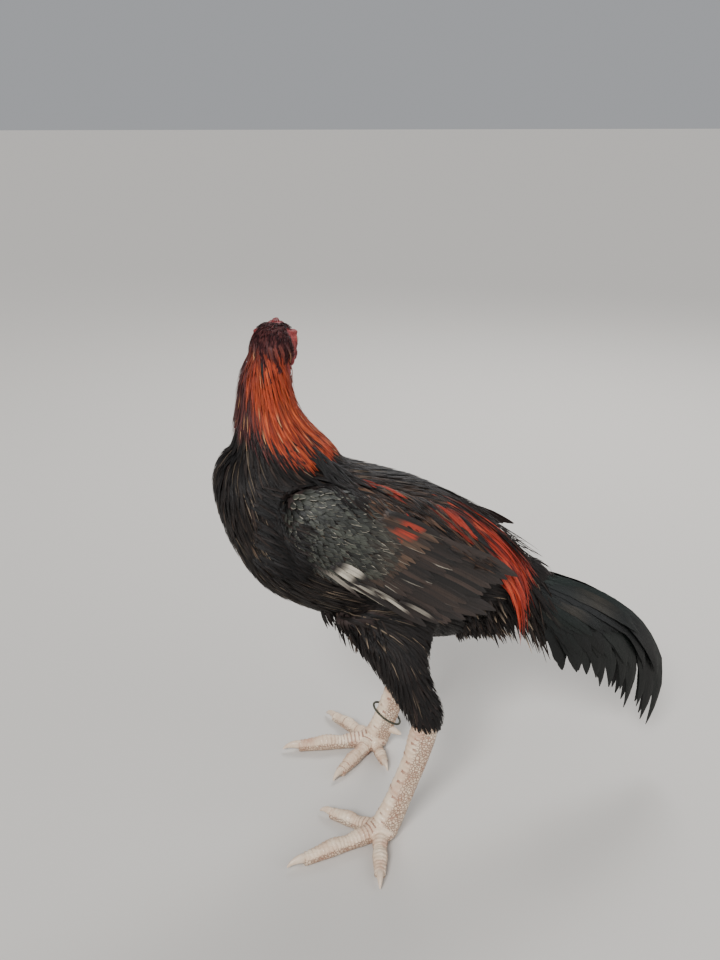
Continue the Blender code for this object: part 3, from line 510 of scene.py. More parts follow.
def surface(thing):
    """The places and the normals of the object's vertices."""
    vertices = thing.data.vertices
    return np.array([v.co for v in vertices]), np.array([v.normal for v in vertices])


def reshaped(thing, places):
    """Moves the object's vertices to these places."""
    thing.data.vertices.foreach_set("co", places.astype(np.float32).ravel())
    thing.data.update()


def marked(mesh, title, values):
    """Writes a number for each vertex under this title, where the finish reads it."""
    spots = mesh.attributes.new(title, "FLOAT", "POINT").data
    spots.foreach_set("value", np.asarray(values, np.float32).ravel())


forms = [head_loft("skull", SKULL, 5, 40)]
for side in (-1, 1):
    for lid in LIDS:
        forms.append(hoop("lid", eye_frame(side), *lid))
    for (x, y, z), radii, turn in SIDE_FORMS:
        forms.append(egg((x, side * y, z), radii, turn))
for place, radii in THROAT_FOLDS:
    forms.append(egg(place, radii))
forms.append(skinned("throat", limb_rings(THROAT, 4, 32)))
head_skin = remeshed("head_skin", forms, HEAD_VOXEL, 3)

# Folds and pebbles are raised in the surface itself, and a hollow is sunk at each ear.
places, normals = surface(head_skin)
local = in_head(places)
folds = np.sin(2 * np.pi * (local[:, 2] + 0.35 * local[:, 0]) / FOLD_PITCH)
cheek = closeness(local, -6, -8, 150)
ear = closeness(local, 5.5, -0.5, 5.0) * (np.abs(local[:, 1]) > 12)
wrinkle = np.zeros(len(local))
for pitch, bearing in WRINKLES:
    swing = local[:, 2] * math.cos(bearing) + local[:, 0] * math.sin(bearing)
    wrinkle += np.sin(2 * np.pi * swing / pitch + 1.3 * np.sin(local[:, 0] * 0.9 + local[:, 2] * 0.7))
# The sunk troughs of folds and wrinkles are marked, to be painted darker as shade.
marked(head_skin.data, "fold_shade", np.clip(-folds * cheek - 0.25 * wrinkle, 0, 1))
rise = FOLD_RISE * folds * cheek + WRINKLE_RISE * wrinkle - EAR_DEPTH * ear
reshaped(head_skin, places + normals * (rise * MM)[:, None])

face = Finish("bare_face", 0.6, specular=0.3)
pebbles = face.cells(1250.0)
red = face.mix(face.noise(90.0).between(0.3, 0.7), paint(118, 38, 42), paint(178, 78, 74))
# Darker red in the grooves between the pebbles, a painted shade.
red = face.mix((pebbles * 1.4).between(0.35, 1.0) * 0.5, red, paint(92, 28, 34))
# Painted shade in the sunk folds and wrinkles.
red = face.mix(face.own("fold_shade") * 0.6, red, paint(70, 24, 30))
face.dress(red, face.noise(420.0) - pebbles * 0.6, 0.0004)
placed(head_skin, face, "head_skin", "head")


# Eyes: pearl white irises with a fine darker rim, black round pupils and a wet, clear surface.
# Each is a ball set in its lids. The pupil and rim are drawn by the angle from the eye's axis.

IRIS_OUT, IRIS_IN = 0.64, 0.30

pearl = Finish("pearl_eye", 0.06, coat=1.0)
angle = pearl.own("gaze")
iris = pearl.mix(pearl.noise(1500.0), paint(196, 180, 150), paint(236, 228, 208))
iris = pearl.mix(angle.between(IRIS_OUT - 0.12, IRIS_OUT), iris, paint(92, 60, 46))
iris = pearl.mix(angle.between(IRIS_OUT, IRIS_OUT + 0.06), iris, paint(40, 26, 24))
iris = pearl.mix(angle.between(IRIS_IN - 0.02, IRIS_IN + 0.02), paint(8, 6, 6), iris)
pearl.dress(iris)
for name, side in (("eye_left", -1), ("eye_right", 1)):
    look = eye_frame(side)
    eye = ball(name + "_ball", look, 48, 48, EYE_RADIUS * MM)
    axis, middle = look.col[2].to_3d(), look.translation
    outward = [(v.co - middle).normalized() for v in eye.data.vertices]
    marked(eye.data, "gaze", [math.acos(min(1.0, way.dot(axis))) for way in outward])
    eye.data.shade_smooth()
    placed(eye, pearl, "eye_pearl", name)


# Beak: two halves of pale horn, short, deep and hooked at the tip, darker at the root, with a
# nostril sunk in each side of the upper half.

UPPER_BEAK = [
    (-24, 14, -25, -2, 9.5, 0.0),
    (-31, 12.5, -31, -2.2, 9.0, 0.0),
    (-39, 9.5, -39, -2.6, 7.2, 0.0),
    (-47, 4.5, -47, -4.0, 5.0, 0.0),
    (-53, -1.5, -52.5, -7.0, 2.8, 0.0),
    (-56, -8, -54.5, -10.0, 1.1, 0.0),
]
LOWER_BEAK = [
    (-24, -2.25, -24, -13.5, 8.9, 0.0),
    (-31, -2.4, -31, -12.4, 8.4, 0.0),
    (-39, -2.8, -38, -10.6, 6.6, 0.0),
    (-46, -4.15, -45, -9.2, 4.4, 0.0),
    (-51.0, -7.0, -50.4, -9.2, 1.9, 0.0),
]
NOSTRIL = (-36.5, 7.6, 4.6)
# The nostril's radii, and how deep it is sunk.
NOSTRIL_RADII = (3.2, 9.0, 1.25)
NOSTRIL_DEPTH = 1.7

horn = Finish("beak_horn_finish", 0.32, coat=0.2)
colour = horn.mix(horn.noise(260.0), paint(196, 172, 128), paint(226, 208, 168))
colour = horn.mix(horn.own("root").between(0.35, 1.0) * 0.65, colour, paint(98, 74, 54))
horn.dress(colour, horn.noise(900.0), 0.00015)
for name, rows, node, widest in (
    ("beak_horn_upper", UPPER_BEAK, "beak_upper", -0.93),
    ("beak_horn_lower", LOWER_BEAK, "beak_lower", 0.93),
):
    half = head_loft(name, rows, 6, 40, widest)
    local = in_head(v.co for v in half.data.vertices)
    if node == "beak_upper":
        for side in (-1, 1):
            away = (local - (NOSTRIL[0], side * NOSTRIL[1], NOSTRIL[2])) / NOSTRIL_RADII
            dent = np.exp(-(away**2).sum(1) * 1.2)
            local[:, 1] -= side * NOSTRIL_DEPTH * dent * (np.sign(local[:, 1]) == side)
        for v, p in zip(half.data.vertices, local):
            v.co = HEAD @ (Vector(p) * MM)
    marked(half.data, "root", np.clip((local[:, 0] + 56) / 30, 0, 1))
    half.data.shade_smooth()
    placed(half, horn, "beak_horn", node)


# Comb: a low pea comb, three rows of rough little knobs that run from the beak to the crown, of
# red skin, with painted shade in the grooves between its pebbles.

# Each knob's place along and up the head, then for each row its place across and its knobs' size.
MIDDLE_KNOBS = (
    (-31, 13.5), (-28, 15.5), (-25, 17.5), (-22, 19.2), (-19, 20.6), (-16, 21.5), (-13, 22.0), (-10, 22.1),
    (-7, 21.9),
)
SIDE_KNOBS = (
    (-28.5, 13.0), (-25.5, 15.2), (-22.5, 17.0), (-19.5, 18.5), (-16.5, 19.4), (-13.5, 19.8), (-10.8, 19.8),
)
COMB_ROWS = ((0.0, 3.1, MIDDLE_KNOBS), (5.0, 2.5, SIDE_KNOBS), (-5.0, 2.5, SIDE_KNOBS))
COMB_VOXEL = 0.0005

draw = np.random.default_rng(11)
forms = []
for y, size, knobs in COMB_ROWS:
    for x, z in knobs:
        knob = size * draw.uniform(0.78, 1.08)
        lean = y + draw.uniform(-0.5, 0.5)
        forms.append(egg((x, lean, z), (knob, knob * 0.95, knob * 1.2), count=16))
comb = remeshed("pea_comb", forms, COMB_VOXEL, 2)

flesh = Finish("comb_flesh", 0.5)
pebbles = flesh.cells(1300.0)
colour = flesh.mix(flesh.noise(200.0), paint(104, 30, 34), paint(160, 52, 50))
# Darker in the grooves between the pebbles, a painted shade.
colour = flesh.mix(pebbles.between(0.3, 0.9), colour, paint(70, 20, 26))
flesh.dress(colour, flesh.noise(600.0) - pebbles, 0.0006)
placed(comb, flesh, "comb_skin", "comb")


# Legs: bare shanks and feet of pale, rough scales. Broad scutes overlap downwards in front of the
# shank and on the toes, small round scales fill the sides. One skin a leg, thick over the joints.

SHANK = [
    (60, 82, 156, 6, 5),
    (59, 82.2, 146, 9.5, 8.5),
    (57, 82.5, 134, 13.0, 11),
    (53, 83, 118, 15, 11.5),
    (46, 84, 92, 14, 10),
    (34, 86, 62, 14, 10),
    (23, 88.5, 36, 14.5, 11),
    (14, 90.5, 18, 16, 12.5),
]
PAD_RADII = (20, 17, 12)
PAD_HEIGHT = 10.5
TOES = {
    -1: {"inner": (-41, 64), "middle": (18, 93), "outer": (79, 66), "hind": (-140, 33)},
    1: {"inner": (-48, 76), "middle": (3, 94), "outer": (58, 74), "hind": (-97, 46)},
}
CLAW_LENGTH = {"inner": 14, "middle": 18, "outer": 16, "hind": 12}
TOE_GIRTH = {"inner": 8.4, "middle": 9.2, "outer": 8.2, "hind": 7.0}
TOE_SWELLS = (1.04, 1.10, 0.90, 1.04, 0.87, 0.76)
# A toe's form starts so far from the middle of the foot and ends so far short of its length.
TOE_START = 5
TOE_SHORT = 1
CLAW_RUN = (
    (-0.22, 0.78, -0.4),
    (0.1, 0.74, 0.6),
    (0.4, 0.6, 0.5),
    (0.7, 0.4, -0.8),
    (0.9, 0.22, -2.8),
    (1.0, 0.1, -4.4),
)
SCUTE_PITCH = 6.2
SCUTE_RISE = 1.0
TOE_SCUTES = 0.72
SCALE_ROUGH = 0.45
LEG_VOXEL = 0.0009


def toe_place(foot, side, bearing, reach):
    """The place in millimetres this far along a toe from the middle of the foot."""
    angle = math.radians(bearing)
    return foot / MM + Vector((-math.cos(angle), side * math.sin(angle), 0)) * reach


def floored(thing):
    """Flattens what would stand below the floor."""
    for v in thing.data.vertices:
        v.co.z = max(v.co.z, 0.0)
    return thing


def along_paths(places, paths):
    """For each place: how far it lies along the nearest path, and which one that is."""
    spots, reaches, owners = [], [], []
    for owner, path in enumerate(paths):
        path = np.array(path)
        steps = np.linalg.norm(np.diff(path, axis=0), axis=1)
        spots.append(path)
        reaches.append(np.concatenate([[0], np.cumsum(steps)]))
        owners.append(np.full(len(path), owner))
    spots, reaches, owners = np.vstack(spots), np.concatenate(reaches), np.concatenate(owners)
    best = np.empty(len(places), int)
    for start in range(0, len(places), 4000):
        away = places[start : start + 4000, None, :] - spots[None]
        best[start : start + 4000] = (away**2).sum(-1).argmin(1)
    return reaches[best], owners[best]


scales = Finish("scaly_legs", 0.5, coat=0.1)
front = scales.own("front")
seam = scales.cells(330.0, "DISTANCE_TO_EDGE")
grain = scales.noise(700.0, detail=4.0)
cream = scales.mix(scales.noise(45.0).between(0.35, 0.7), paint(214, 184, 156), paint(238, 218, 192))
cream = scales.mix(grain.between(0.5, 0.8) * 0.5, cream, paint(244, 232, 212))
seams = (1.0 - seam.between(0.0, 0.16)) * (1.0 - front)
grooves = scales.own("scute").between(0.80, 0.98) * front
cream = scales.mix((seams + grooves).math("MINIMUM", 1.0) * 0.85, cream, paint(146, 98, 78))
cream = scales.mix(scales.noise(25.0).between(0.54, 0.72) * 0.55, cream, paint(172, 116, 92))
scales.dress(cream, grain * 0.35 + seam.between(0.0, 0.2) * (1.0 - front), 0.0009)

claw_horn = Finish("claw_horn_finish", 0.38, coat=0.15)
colour = claw_horn.mix(claw_horn.noise(160.0), paint(206, 176, 148), paint(236, 218, 196))
colour = claw_horn.mix(claw_horn.noise(1200.0).between(0.6, 0.75) * 0.4, colour, paint(150, 118, 96))
claw_horn.dress(colour, claw_horn.noise(900.0), 0.0002)

for label, side, foot in LEGS:
    shank_rows = leg_rows(SHANK, side, foot)
    forms = [skinned("shank_form", limb_rings(shank_rows, 6, 36))]
    paths = [[at(*row[:3]) for row in through(shank_rows, 8)]]
    middle = Matrix.Translation(foot + SHIFT + Vector((0, 0, PAD_HEIGHT)) * MM)
    forms.append(ball("pad", middle @ Matrix.Diagonal((*(Vector(PAD_RADII) * MM), 1)), 32, 16))
    for kind, (bearing, length) in TOES[side].items():
        rows = []
        for i, swell in enumerate(TOE_SWELLS):
            run = (length - TOE_START - TOE_SHORT) * i / (len(TOE_SWELLS) - 1)
            place = toe_place(foot, side, bearing, TOE_START + run)
            half = TOE_GIRTH[kind] * swell
            rows.append((place.x, place.y, half * 0.93, half, half * 0.95))
        forms.append(skinned("toe_form", limb_rings(rows, 5, 28)))
        paths.append([at(*row[:3]) for row in through(rows, 8)])
    legs = remeshed("leg_skin_" + label, [floored(form) for form in forms], LEG_VOXEL, 4)

    # Scutes: each is a step in the skin that rises towards its lower edge, round the front of the
    # shank and over the toes.
    places, normals = surface(legs)
    reach, owner = along_paths(places, paths)
    facing = np.where(owner == 0, -normals[:, 0] + 0.2 * normals[:, 2], normals[:, 2])
    ramp = np.clip((facing - 0.15) / 0.35, 0, 1)
    ramp = ramp**2 * (3 - 2 * ramp)
    pitch = np.where(owner == 0, SCUTE_PITCH, SCUTE_PITCH * TOE_SCUTES) * MM
    bow = np.where(owner == 0, np.abs(normals[:, 1]) * 2.0 * MM, 0.0)
    phase = ((reach - bow) / pitch) % 1.0
    step = np.where(phase < 0.9, phase / 0.9, (1 - phase) / 0.1) - 0.45
    rough = np.array([noise.noise(Vector(p) * 420) + 0.6 * noise.noise(Vector(p) * 900) for p in places])
    lift = SCUTE_RISE * ramp * step + SCALE_ROUGH * rough
    lift *= np.where(places[:, 2] < 0.003, 0.2, 1.0)
    places += normals * (lift * MM)[:, None]
    places[:, 2] = np.maximum(places[:, 2], 0.0)
    reshaped(legs, places)
    marked(legs.data, "scute", phase)
    marked(legs.data, "front", ramp)
    toes = [f"toe_{kind}_{label}" for kind in TOES[side]]
    placed(legs, scales, "leg_scale", f"shank_{label}", f"foot_{label}", *toes)

    # Claws: blunt, flattened cones of pale horn that arch down to the floor from each toe's end.
    for kind, (bearing, length) in TOES[side].items():
        girth = TOE_GIRTH[kind]
        rows = []
        for share, size, lift in CLAW_RUN:
            place = toe_place(foot, side, bearing, length + CLAW_LENGTH[kind] * share)
            half = girth * TOE_SWELLS[-1] * size
            rows.append((place.x, place.y, max(girth * 0.92 + lift, half), half, half * 0.8))
        claw = floored(skinned(f"claw_{kind}_{label}_horn", limb_rings(rows, 4, 20)))
        claw.data.shade_smooth()
        placed(claw, claw_horn, "claw_horn", f"claw_{kind}_{label}")


# Spurs: a blunt cone of the same pale horn as the claws, on the inner back of each shank. It grows
# from the bone through the scales, in faint rings, and is longer on the right leg.

SPUR_HEIGHT = 30
SPUR_ROOT = 10
SPUR_RING = 0.12
SPUR_OUT = Vector((0.80, -0.52, -0.30)).normalized()
SPUR_LENGTH = {-1: 13, 1: 17}
SPUR_RUN = ((0.0, 5.6), (0.3, 5.4), (0.45, 4.8), (0.6, 4.3), (0.75, 3.4), (0.93, 1.9), (1.0, 0.7))


def shank_middle(side, foot, height):
    """The middle of the shank at this height, and the way up along it."""
    rows = leg_rows(SHANK, side, foot)
    upper, lower = next(pair for pair in zip(rows, rows[1:]) if pair[0][2] >= height >= pair[1][2])
    low, high = Vector(lower[:3]), Vector(upper[:3])
    return low.lerp(high, (height - low.z) / (high.z - low.z)), (high - low).normalized()


for label, side, foot in LEGS:
    middle, _ = shank_middle(side, foot, SPUR_HEIGHT)
    out = Vector((SPUR_OUT.x, side * SPUR_OUT.y, SPUR_OUT.z))
    rows = []
    for i, (share, half) in enumerate(through(SPUR_RUN, 5)):
        half += SPUR_RING * (i % 2)
        rows.append((*(middle + out * (SPUR_ROOT + SPUR_LENGTH[side]) * share), half, half))
    spur = skinned(f"spur_{label}_horn", limb_rings(rows, 1, 24))
    spur.data.shade_smooth()
    placed(spur, claw_horn, "claw_horn", f"spur_{label}")


# Leg ring: a thin band of dark, dull rubber, moulded in one closed loop. It hangs loose round the
# right shank, where it has slid down until it lies aslant on the spur.

RING_RADIUS = 18.8
RING_TUBE = 1.3
RING_HEIGHT = 46
RING_LEAN = math.radians(17)

middle, along = shank_middle(1, RIGHT_FOOT, RING_HEIGHT)
axis = Matrix.Rotation(RING_LEAN, 3, "Y") @ along
turn = Vector((0, 0, 1)).rotation_difference(axis).to_matrix().to_4x4()
place = Matrix.Translation(at(*middle)) @ turn
band = hoop("ring_band", place, RING_RADIUS, RING_TUBE, count=72, sides=16)
band.data.shade_smooth()
rubber = Finish("ring_finish", 0.65)
wear = rubber.noise(300.0)
rubber.dress(rubber.mix(wear, paint(30, 32, 24), paint(70, 70, 52)), wear, 0.0002)
placed(band, rubber, "ring_rubber", "leg_ring")


# Body coat: short, hard, narrow feathers, black to dark grey brown, that lie close over breast,
# back, belly and thighs. Each is a thin closed blade of keratin with a raised shaft, rooted in the
# skin, and every row lies over the one behind it.

COAT_PITCH = 3.8
COAT_LENGTH = (16.0, 32.0)
COAT_HALF = 2.1
COAT_STEPS = 5
# The ways that body feathers point: along the back, down in front and on the thighs, over the
# rump, and under the belly.
LIE_BACK = Vector((1.0, 0.0, -0.28))
LIE_DOWN = Vector((0.35, 0.0, -1.0))
LIE_RUMP = Vector((0.7, 0.0, -0.9))
LIE_BELLY = Vector((1.0, 0.0, 0.1))
# Heights of a thigh's lower and upper end, between which the coat grows longer and wider.
COAT_LEVELS = (150, 240)
# The side of the patch that each feather has on the map of the skin.
UV_PATCH = 0.003
# How many places are tried for each square of a pitch.
SCATTER_TRIES = 4.5


class Skins:
    """The skins that feathers are combed over, with the map of the one that holds their roots."""

    def __init__(self, mapped, *others):
        places, faces = [], []
        for thing in (mapped, *others):
            start = len(places)
            places.extend(v.co for v in thing.data.vertices)
            faces.extend([start + i for i in polygon.vertices] for polygon in thing.data.polygons)
        self.tree = BVHTree.FromPolygons(places, faces)
        mesh = mapped.data
        spots = np.empty(len(mesh.loops) * 2)
        mesh.uv_layers["OFBake"].data.foreach_get("uv", spots)
        starts = [polygon.loop_start for polygon in mesh.polygons]
        self.patches = spots.reshape(-1, 2)[starts]

    def nearest(self, place):
        """The nearest place on the skins, the way out of them there, and its face."""
        found, normal, index, _ = self.tree.find_nearest(place)
        return found, normal, index

    def patch(self, places):
        """The place on the map of the skin under each of these places."""
        nearest = [min(self.nearest(Vector(p))[2], len(self.patches) - 1) for p in places]
        return self.patches[nearest]

    def struck(self, place, way):
        """Where a line from this place meets the skins, or nothing."""
        return self.tree.ray_cast(place, Vector(way))[0]

    def combed(self, starts, flow, lengths, steps, rise, turn=0.5):
        """The middles and the outward directions of feathers that follow the skin from their roots.
        The rise gives their heights over the skin in millimetres at 0, 0.12 and 1 of their length."""
        middles, outs = [], []
        heights = np.interp(even(steps), (0.0, 0.12, 1.0), rise) * MM
        for start, length in zip(starts, lengths):
            place, normal, _ = self.nearest(Vector(start))
            heading = flow(place, normal)
            blade, ups = [], []
            for height in heights:
                blade.append(place + normal * float(height))
                ups.append(normal.copy())
                heading = heading.lerp(flow(place, normal), turn)
                heading -= normal * heading.dot(normal)
                heading.normalize()
                place, normal, _ = self.nearest(place + heading * (length * MM / (steps - 1)))
            middles.append(blade)
            outs.append(ups)
        return np.array(middles), np.array(outs)


def even(steps):
    """Shares of a length where so many evenly spaced steps stand."""
    return np.arange(steps) / (steps - 1)


def shaped(shares, root, fullest, tip, power):
    """The half width of a feather along it: from the root's share up to 1 and down to the tip's."""
    rise = np.clip(shares / fullest, 0, 1)
    fall = np.clip((shares - fullest) / (1 - fullest), 0, 1)
    return (root + (1 - root) * rise * (2 - rise)) * (1 - (1 - tip) * fall**power)


def plumes(name, middles, outs, halves, tints, draw, roots=None, section=(0.22, 0.2, None), rims=None):
    """One mesh of many feathers, from arrays with a row for each feather and a column for each step.
    Tints hold a colour for each step. A section says how far a blade's edges hang and its shaft
    stands, as shares of its half width, and how thick a wide blade with a hollow back is, in
    millimetres. Rims hold how pale the two edges are."""
    cup, ridge, thickness = section
    count, steps = halves.shape
    ahead = np.gradient(middles, axis=1)
    ahead /= np.linalg.norm(ahead, axis=2, keepdims=True)
    side = np.cross(ahead, outs)
    side /= np.linalg.norm(side, axis=2, keepdims=True)
    outs = np.cross(side, ahead)
    half = halves[..., None] * MM
    low = middles - outs * half * cup
    top = middles + outs * half * ridge
    corners = [low - side * half, top, low + side * half]
    across = [-1.0, 0.0, 1.0]
    if thickness is not None:
        corners.append(top - outs * np.minimum(half * (ridge + cup) * 0.8, thickness * MM))
        across.append(0.0)
    sides = len(corners)
    whole = (count, steps, sides)
    places = np.stack(corners, 2).reshape(-1, 3)
    base = np.arange(count)[:, None, None] * steps * sides
    rows = base + np.arange(steps - 1)[None, :, None] * sides
    k = np.arange(sides)
    near, far = rows + k, rows + (k + 1) % sides
    walls = np.stack([near, near + sides, far + sides, far], -1).reshape(-1, 4)
    ends = base[:, 0] + (steps - 1) * sides + k[::-1]
    caps = np.concatenate([base[:, 0] + k, ends])
    mesh = bpy.data.meshes.new(name)
    mesh.from_pydata(places.tolist(), [], walls.tolist() + caps.tolist())
    along = np.broadcast_to(even(steps)[:, None], whole)
    spread = np.broadcast_to(np.array(across), whole)
    reach = np.linalg.norm(np.diff(middles, axis=1), axis=2).sum(1) / MM
    rim = np.zeros(whole)
    if rims is not None:
        rim[:, :, (0, 2)] = rims
    marked(mesh, "across", spread)
    marked(mesh, "tone", np.broadcast_to(draw.random(count)[:, None, None], whole))
    marked(mesh, "reach", reach[:, None, None] * along)
    marked(mesh, "rim", rim)
    tint = np.ones((*whole, 4), np.float32)
    tint[..., :3] = tints[:, :, None, :]
    mesh.attributes.new("tint", "FLOAT_COLOR", "POINT").data.foreach_set("color", tint.ravel())
    owners = np.empty(len(mesh.loops), int)
    mesh.loops.foreach_get("vertex_index", owners)
    flat = skins.patch(middles[:, 0] if roots is None else roots)[owners // (steps * sides)]
    offset = np.stack([along.ravel()[owners], (spread.ravel()[owners] + 1) / 2], -1)
    uv = np.clip(flat + offset * UV_PATCH, 0.0, 1.0)
    mesh.uv_layers.new(name="OFBake").data.foreach_set("uv", uv.ravel())
    mesh.shade_smooth()
    mesh.set_sharp_from_angle(angle=math.radians(62))
    return linked(name, mesh)


def plume_finish(name, roughness, depth, stripes, specular, coat=0.0):
    """A feather's material: its own tint, darker and lighter barbs and a dark shaft.
    Stripes are how far barbs slant, in millimetres of length for the half width."""
    made = Finish(name, roughness, coat, specular)
    across, tone, reach, rim = (made.own(title) for title in ("across", "tone", "reach", "rim"))
    slant = reach - abs(across) * stripes
    barbs = made.noise(0.9, 2.0, 0.7, made.point(slant, tone * 90.0, across * 0.4))
    strands = made.noise(1.0, 2.0, 0.6, made.point(across * 2.6, reach * 0.03, tone * 70.0))
    light = (barbs - 0.5) * depth + (strands - 0.5) * depth * 1.3 + (tone - 0.5) * depth * 0.9 + 1.0
    shaft = 1.0 - (1.0 - abs(across)).between(0.80, 0.98) * 0.35
    light = light.math("MAXIMUM", 0.08) * shaft
    colour = made.mix(1.0, made.own("tint", "Color"), made.point(light, light, light), "MULTIPLY")
    colour = made.mix(rim.between(0.45, 0.85), colour, paint(196, 188, 170))
    made.dress(colour, barbs + strands, 0.0005, 0.8)
    return made


def swatch(*colours):
    """Linear colours as one array."""
    return np.array([paint(*colour) for colour in colours])


def blended(rows, shares):
    """The colours of these rows mixed by shares from 0 at the first to 1 at the last."""
    stops = np.linspace(0, 1, len(rows))
    return np.stack([np.interp(shares, stops, rows[:, c]) for c in range(3)], -1)


def shaded(hue, shares, stops, lights):
    """A colour for each step of each feather, from its hue and its light at these stops."""
    return hue[:, None, :] * np.interp(shares, stops, lights)[:, None]


def bird(place):
    """A packed place in millimetres of the bird's own frame."""
    return (np.asarray(place) - np.array(SHIFT)) / MM


def lie_of(place, normal):
    """The way that body feathers point here."""
    x, y, z = (place - SHIFT) / MM
    front = min(1.0, max(0.0, (-40 - x) / 70))
    heading = LIE_BACK.lerp(LIE_DOWN, front)
    low = min(1.0, max(0.0, (258 - z) / 40)) * (1.0 if abs(y) > 24 and -40 < x < 110 else 0.0)
    heading = heading.lerp(LIE_DOWN, low)
    rear = min(1.0, max(0.0, (x - 120) / 50))
    heading = heading.lerp(LIE_RUMP, rear)
    under = max(0.0, -normal.z) * (1 - low)
    return heading.lerp(LIE_BELLY, under).normalized()


def inside(along, up):
    """A test for places between these ends along the bird and up."""
    return lambda p: (p[:, 0] > along[0]) & (p[:, 0] < along[1]) & (p[:, 2] > up[0]) & (p[:, 2] < up[1])


def scattered(thing, pitch, keep, seed):
    """Places on the object's skin at least a pitch apart, in millimetres, wherever keep allows."""
    draw = np.random.default_rng(seed)
    mesh = thing.data
    mesh.calc_loop_triangles()
    corners = np.array([[mesh.vertices[i].co for i in t.vertices] for t in mesh.loop_triangles])
    areas = np.array([t.area for t in mesh.loop_triangles])
    wanted = int(areas.sum() / (pitch * MM) ** 2 * SCATTER_TRIES)
    chosen = draw.choice(len(areas), wanted, p=areas / areas.sum())
    u, v = draw.random(wanted), draw.random(wanted)
    over = u + v > 1
    u, v = np.where(over, 1 - u, u), np.where(over, 1 - v, v)
    a, b, c = corners[chosen, 0], corners[chosen, 1], corners[chosen, 2]
    places = a + (b - a) * u[:, None] + (c - a) * v[:, None]
    places = places[keep(bird(places))]
    taken, kept = {}, []
    for place in places:
        cell = tuple((place / (pitch * MM)).astype(int))
        near = [p for i in (-1, 0, 1) for j in (-1, 0, 1) for k in (-1, 0, 1)
                for p in taken.get((cell[0] + i, cell[1] + j, cell[2] + k), ())]
        if all(((place - p) ** 2).sum() > (pitch * MM) ** 2 for p in near):
            taken.setdefault(cell, []).append(place)
            kept.append(place)
    return np.array(kept)


BLACKS = swatch((14, 11, 10), (32, 25, 22), (54, 42, 35), (92, 74, 60))
# A pale grey brown, painted as highlight streaks on black plumage.
PAINTED_HIGHLIGHT = swatch((158, 138, 116))[0]
PATCH_REDS = swatch((80, 22, 15), (142, 44, 27))
# Where back and wing carry red feathers: along the bird, off its middle and up, then the reach.
RED_PATCHES = [
    (0, 46, 398, 10),
    (18, 49, 388, 8),
    (82, 48, 360, 11),
    (98, 48, 346, 12),
    (38, 80, 360, 13),
    (22, 80, 352, 9),
]
coat_finish = plume_finish("coat_feather", 0.50, 0.9, 4.0, 0.25)


def red_share(home):
    """How red the plumage is at these places, given in the bird's own millimetres."""
    share = np.zeros(home.shape[:-1])
    for x, y, z, reach in RED_PATCHES:
        away = (home[..., 0] - x) ** 2 + (np.abs(home[..., 1]) - y) ** 2 + (home[..., 2] - z) ** 2
        share = np.maximum(share, np.exp(-away / reach**2))
    return share


def back_share(home):
    """How brown the plumage is here: it is so on both sides of the back's dark middle line."""
    x, y, z = home[..., 0], np.abs(home[..., 1]), home[..., 2]
    along = np.interp(x, (-40, -10, 96, 130), (0, 1, 1, 0))
    return along * np.interp(y, (10, 24, 62, 72), (0, 1, 1, 0)) * np.interp(z, (320, 350), (0, 1))


def reddened(hue, home, draw, least=0.25, most=0.7):
    """These colours, and red ones for most of the feathers that lie in the red patches."""
    red = red_share(home) > draw.uniform(least, most, len(home))
    return np.where(red[:, None], blended(PATCH_REDS, draw.random(len(home))), hue)


skins = Skins(body_skin, head_skin)
# Each coat: its name, its seed, its ends along the bird and up, and the nodes that it replaces.
for name, seed, along, up, nodes in (
    ("coat_breast", 3, (-math.inf, -20), (235, 455), ("torso",)),
    ("coat_rear", 4, (-20, 192), (235, math.inf), ("torso",)),
    ("coat_legs", 5, (-math.inf, 192), (0, 235), ("thigh_left", "thigh_right")),
):
    draw = np.random.default_rng(seed)
    starts = scattered(body_skin, COAT_PITCH, inside(along, up), seed)
    home, count = bird(starts), len(starts)
    lengths = np.interp(home[:, 2], COAT_LEVELS, COAT_LENGTH) * draw.uniform(0.75, 1.3, count)
    painted_streak = draw.random(count) < np.interp(home[:, 0], (-150, -60, 60), (0.12, 0.10, 0.05))
    lengths[painted_streak] *= 1.6
    middles, outs = skins.combed(starts, lie_of, lengths, COAT_STEPS, (-1.2, 0.3, 4.3))
    shares = even(COAT_STEPS)
    widths = COAT_HALF * np.interp(home[:, 2], COAT_LEVELS, (0.75, 1.0)) * draw.uniform(0.75, 1.15, count)
    halves = widths[:, None] * shaped(shares, 0.5, 0.45, 0.10, 1.7)
    grey = np.clip(draw.normal(0.30, 0.20, count), 0, 1) ** 1.5
    grey *= np.interp(home[:, 0], (-150, -60, 20), (0.9, 1.1, 0.45))
    grey += back_share(home) * draw.uniform(0.0, 0.75, count)
    hue = blended(BLACKS, grey)
    # A few feathers are only a long, thin, pale strand: a painted highlight streak on the black coat.
    halves[painted_streak] *= 0.30
    hue[painted_streak] = PAINTED_HIGHLIGHT * draw.uniform(0.10, 0.55, (painted_streak.sum(), 1))
    tints = shaded(reddened(hue, home, draw), shares, (0, 0.5, 1), (0.5, 0.9, 1.25))
    coat = plumes(name, middles, outs, halves, tints, draw, starts)
    placed(coat, coat_finish, "black_plumage", *nodes)


# Neck hackle: narrow, pointed, silky feathers from the nape to the shoulders, orange red down the
# side and the nape, dark maroon in front, with black roots at the fringe and a few pale tips.

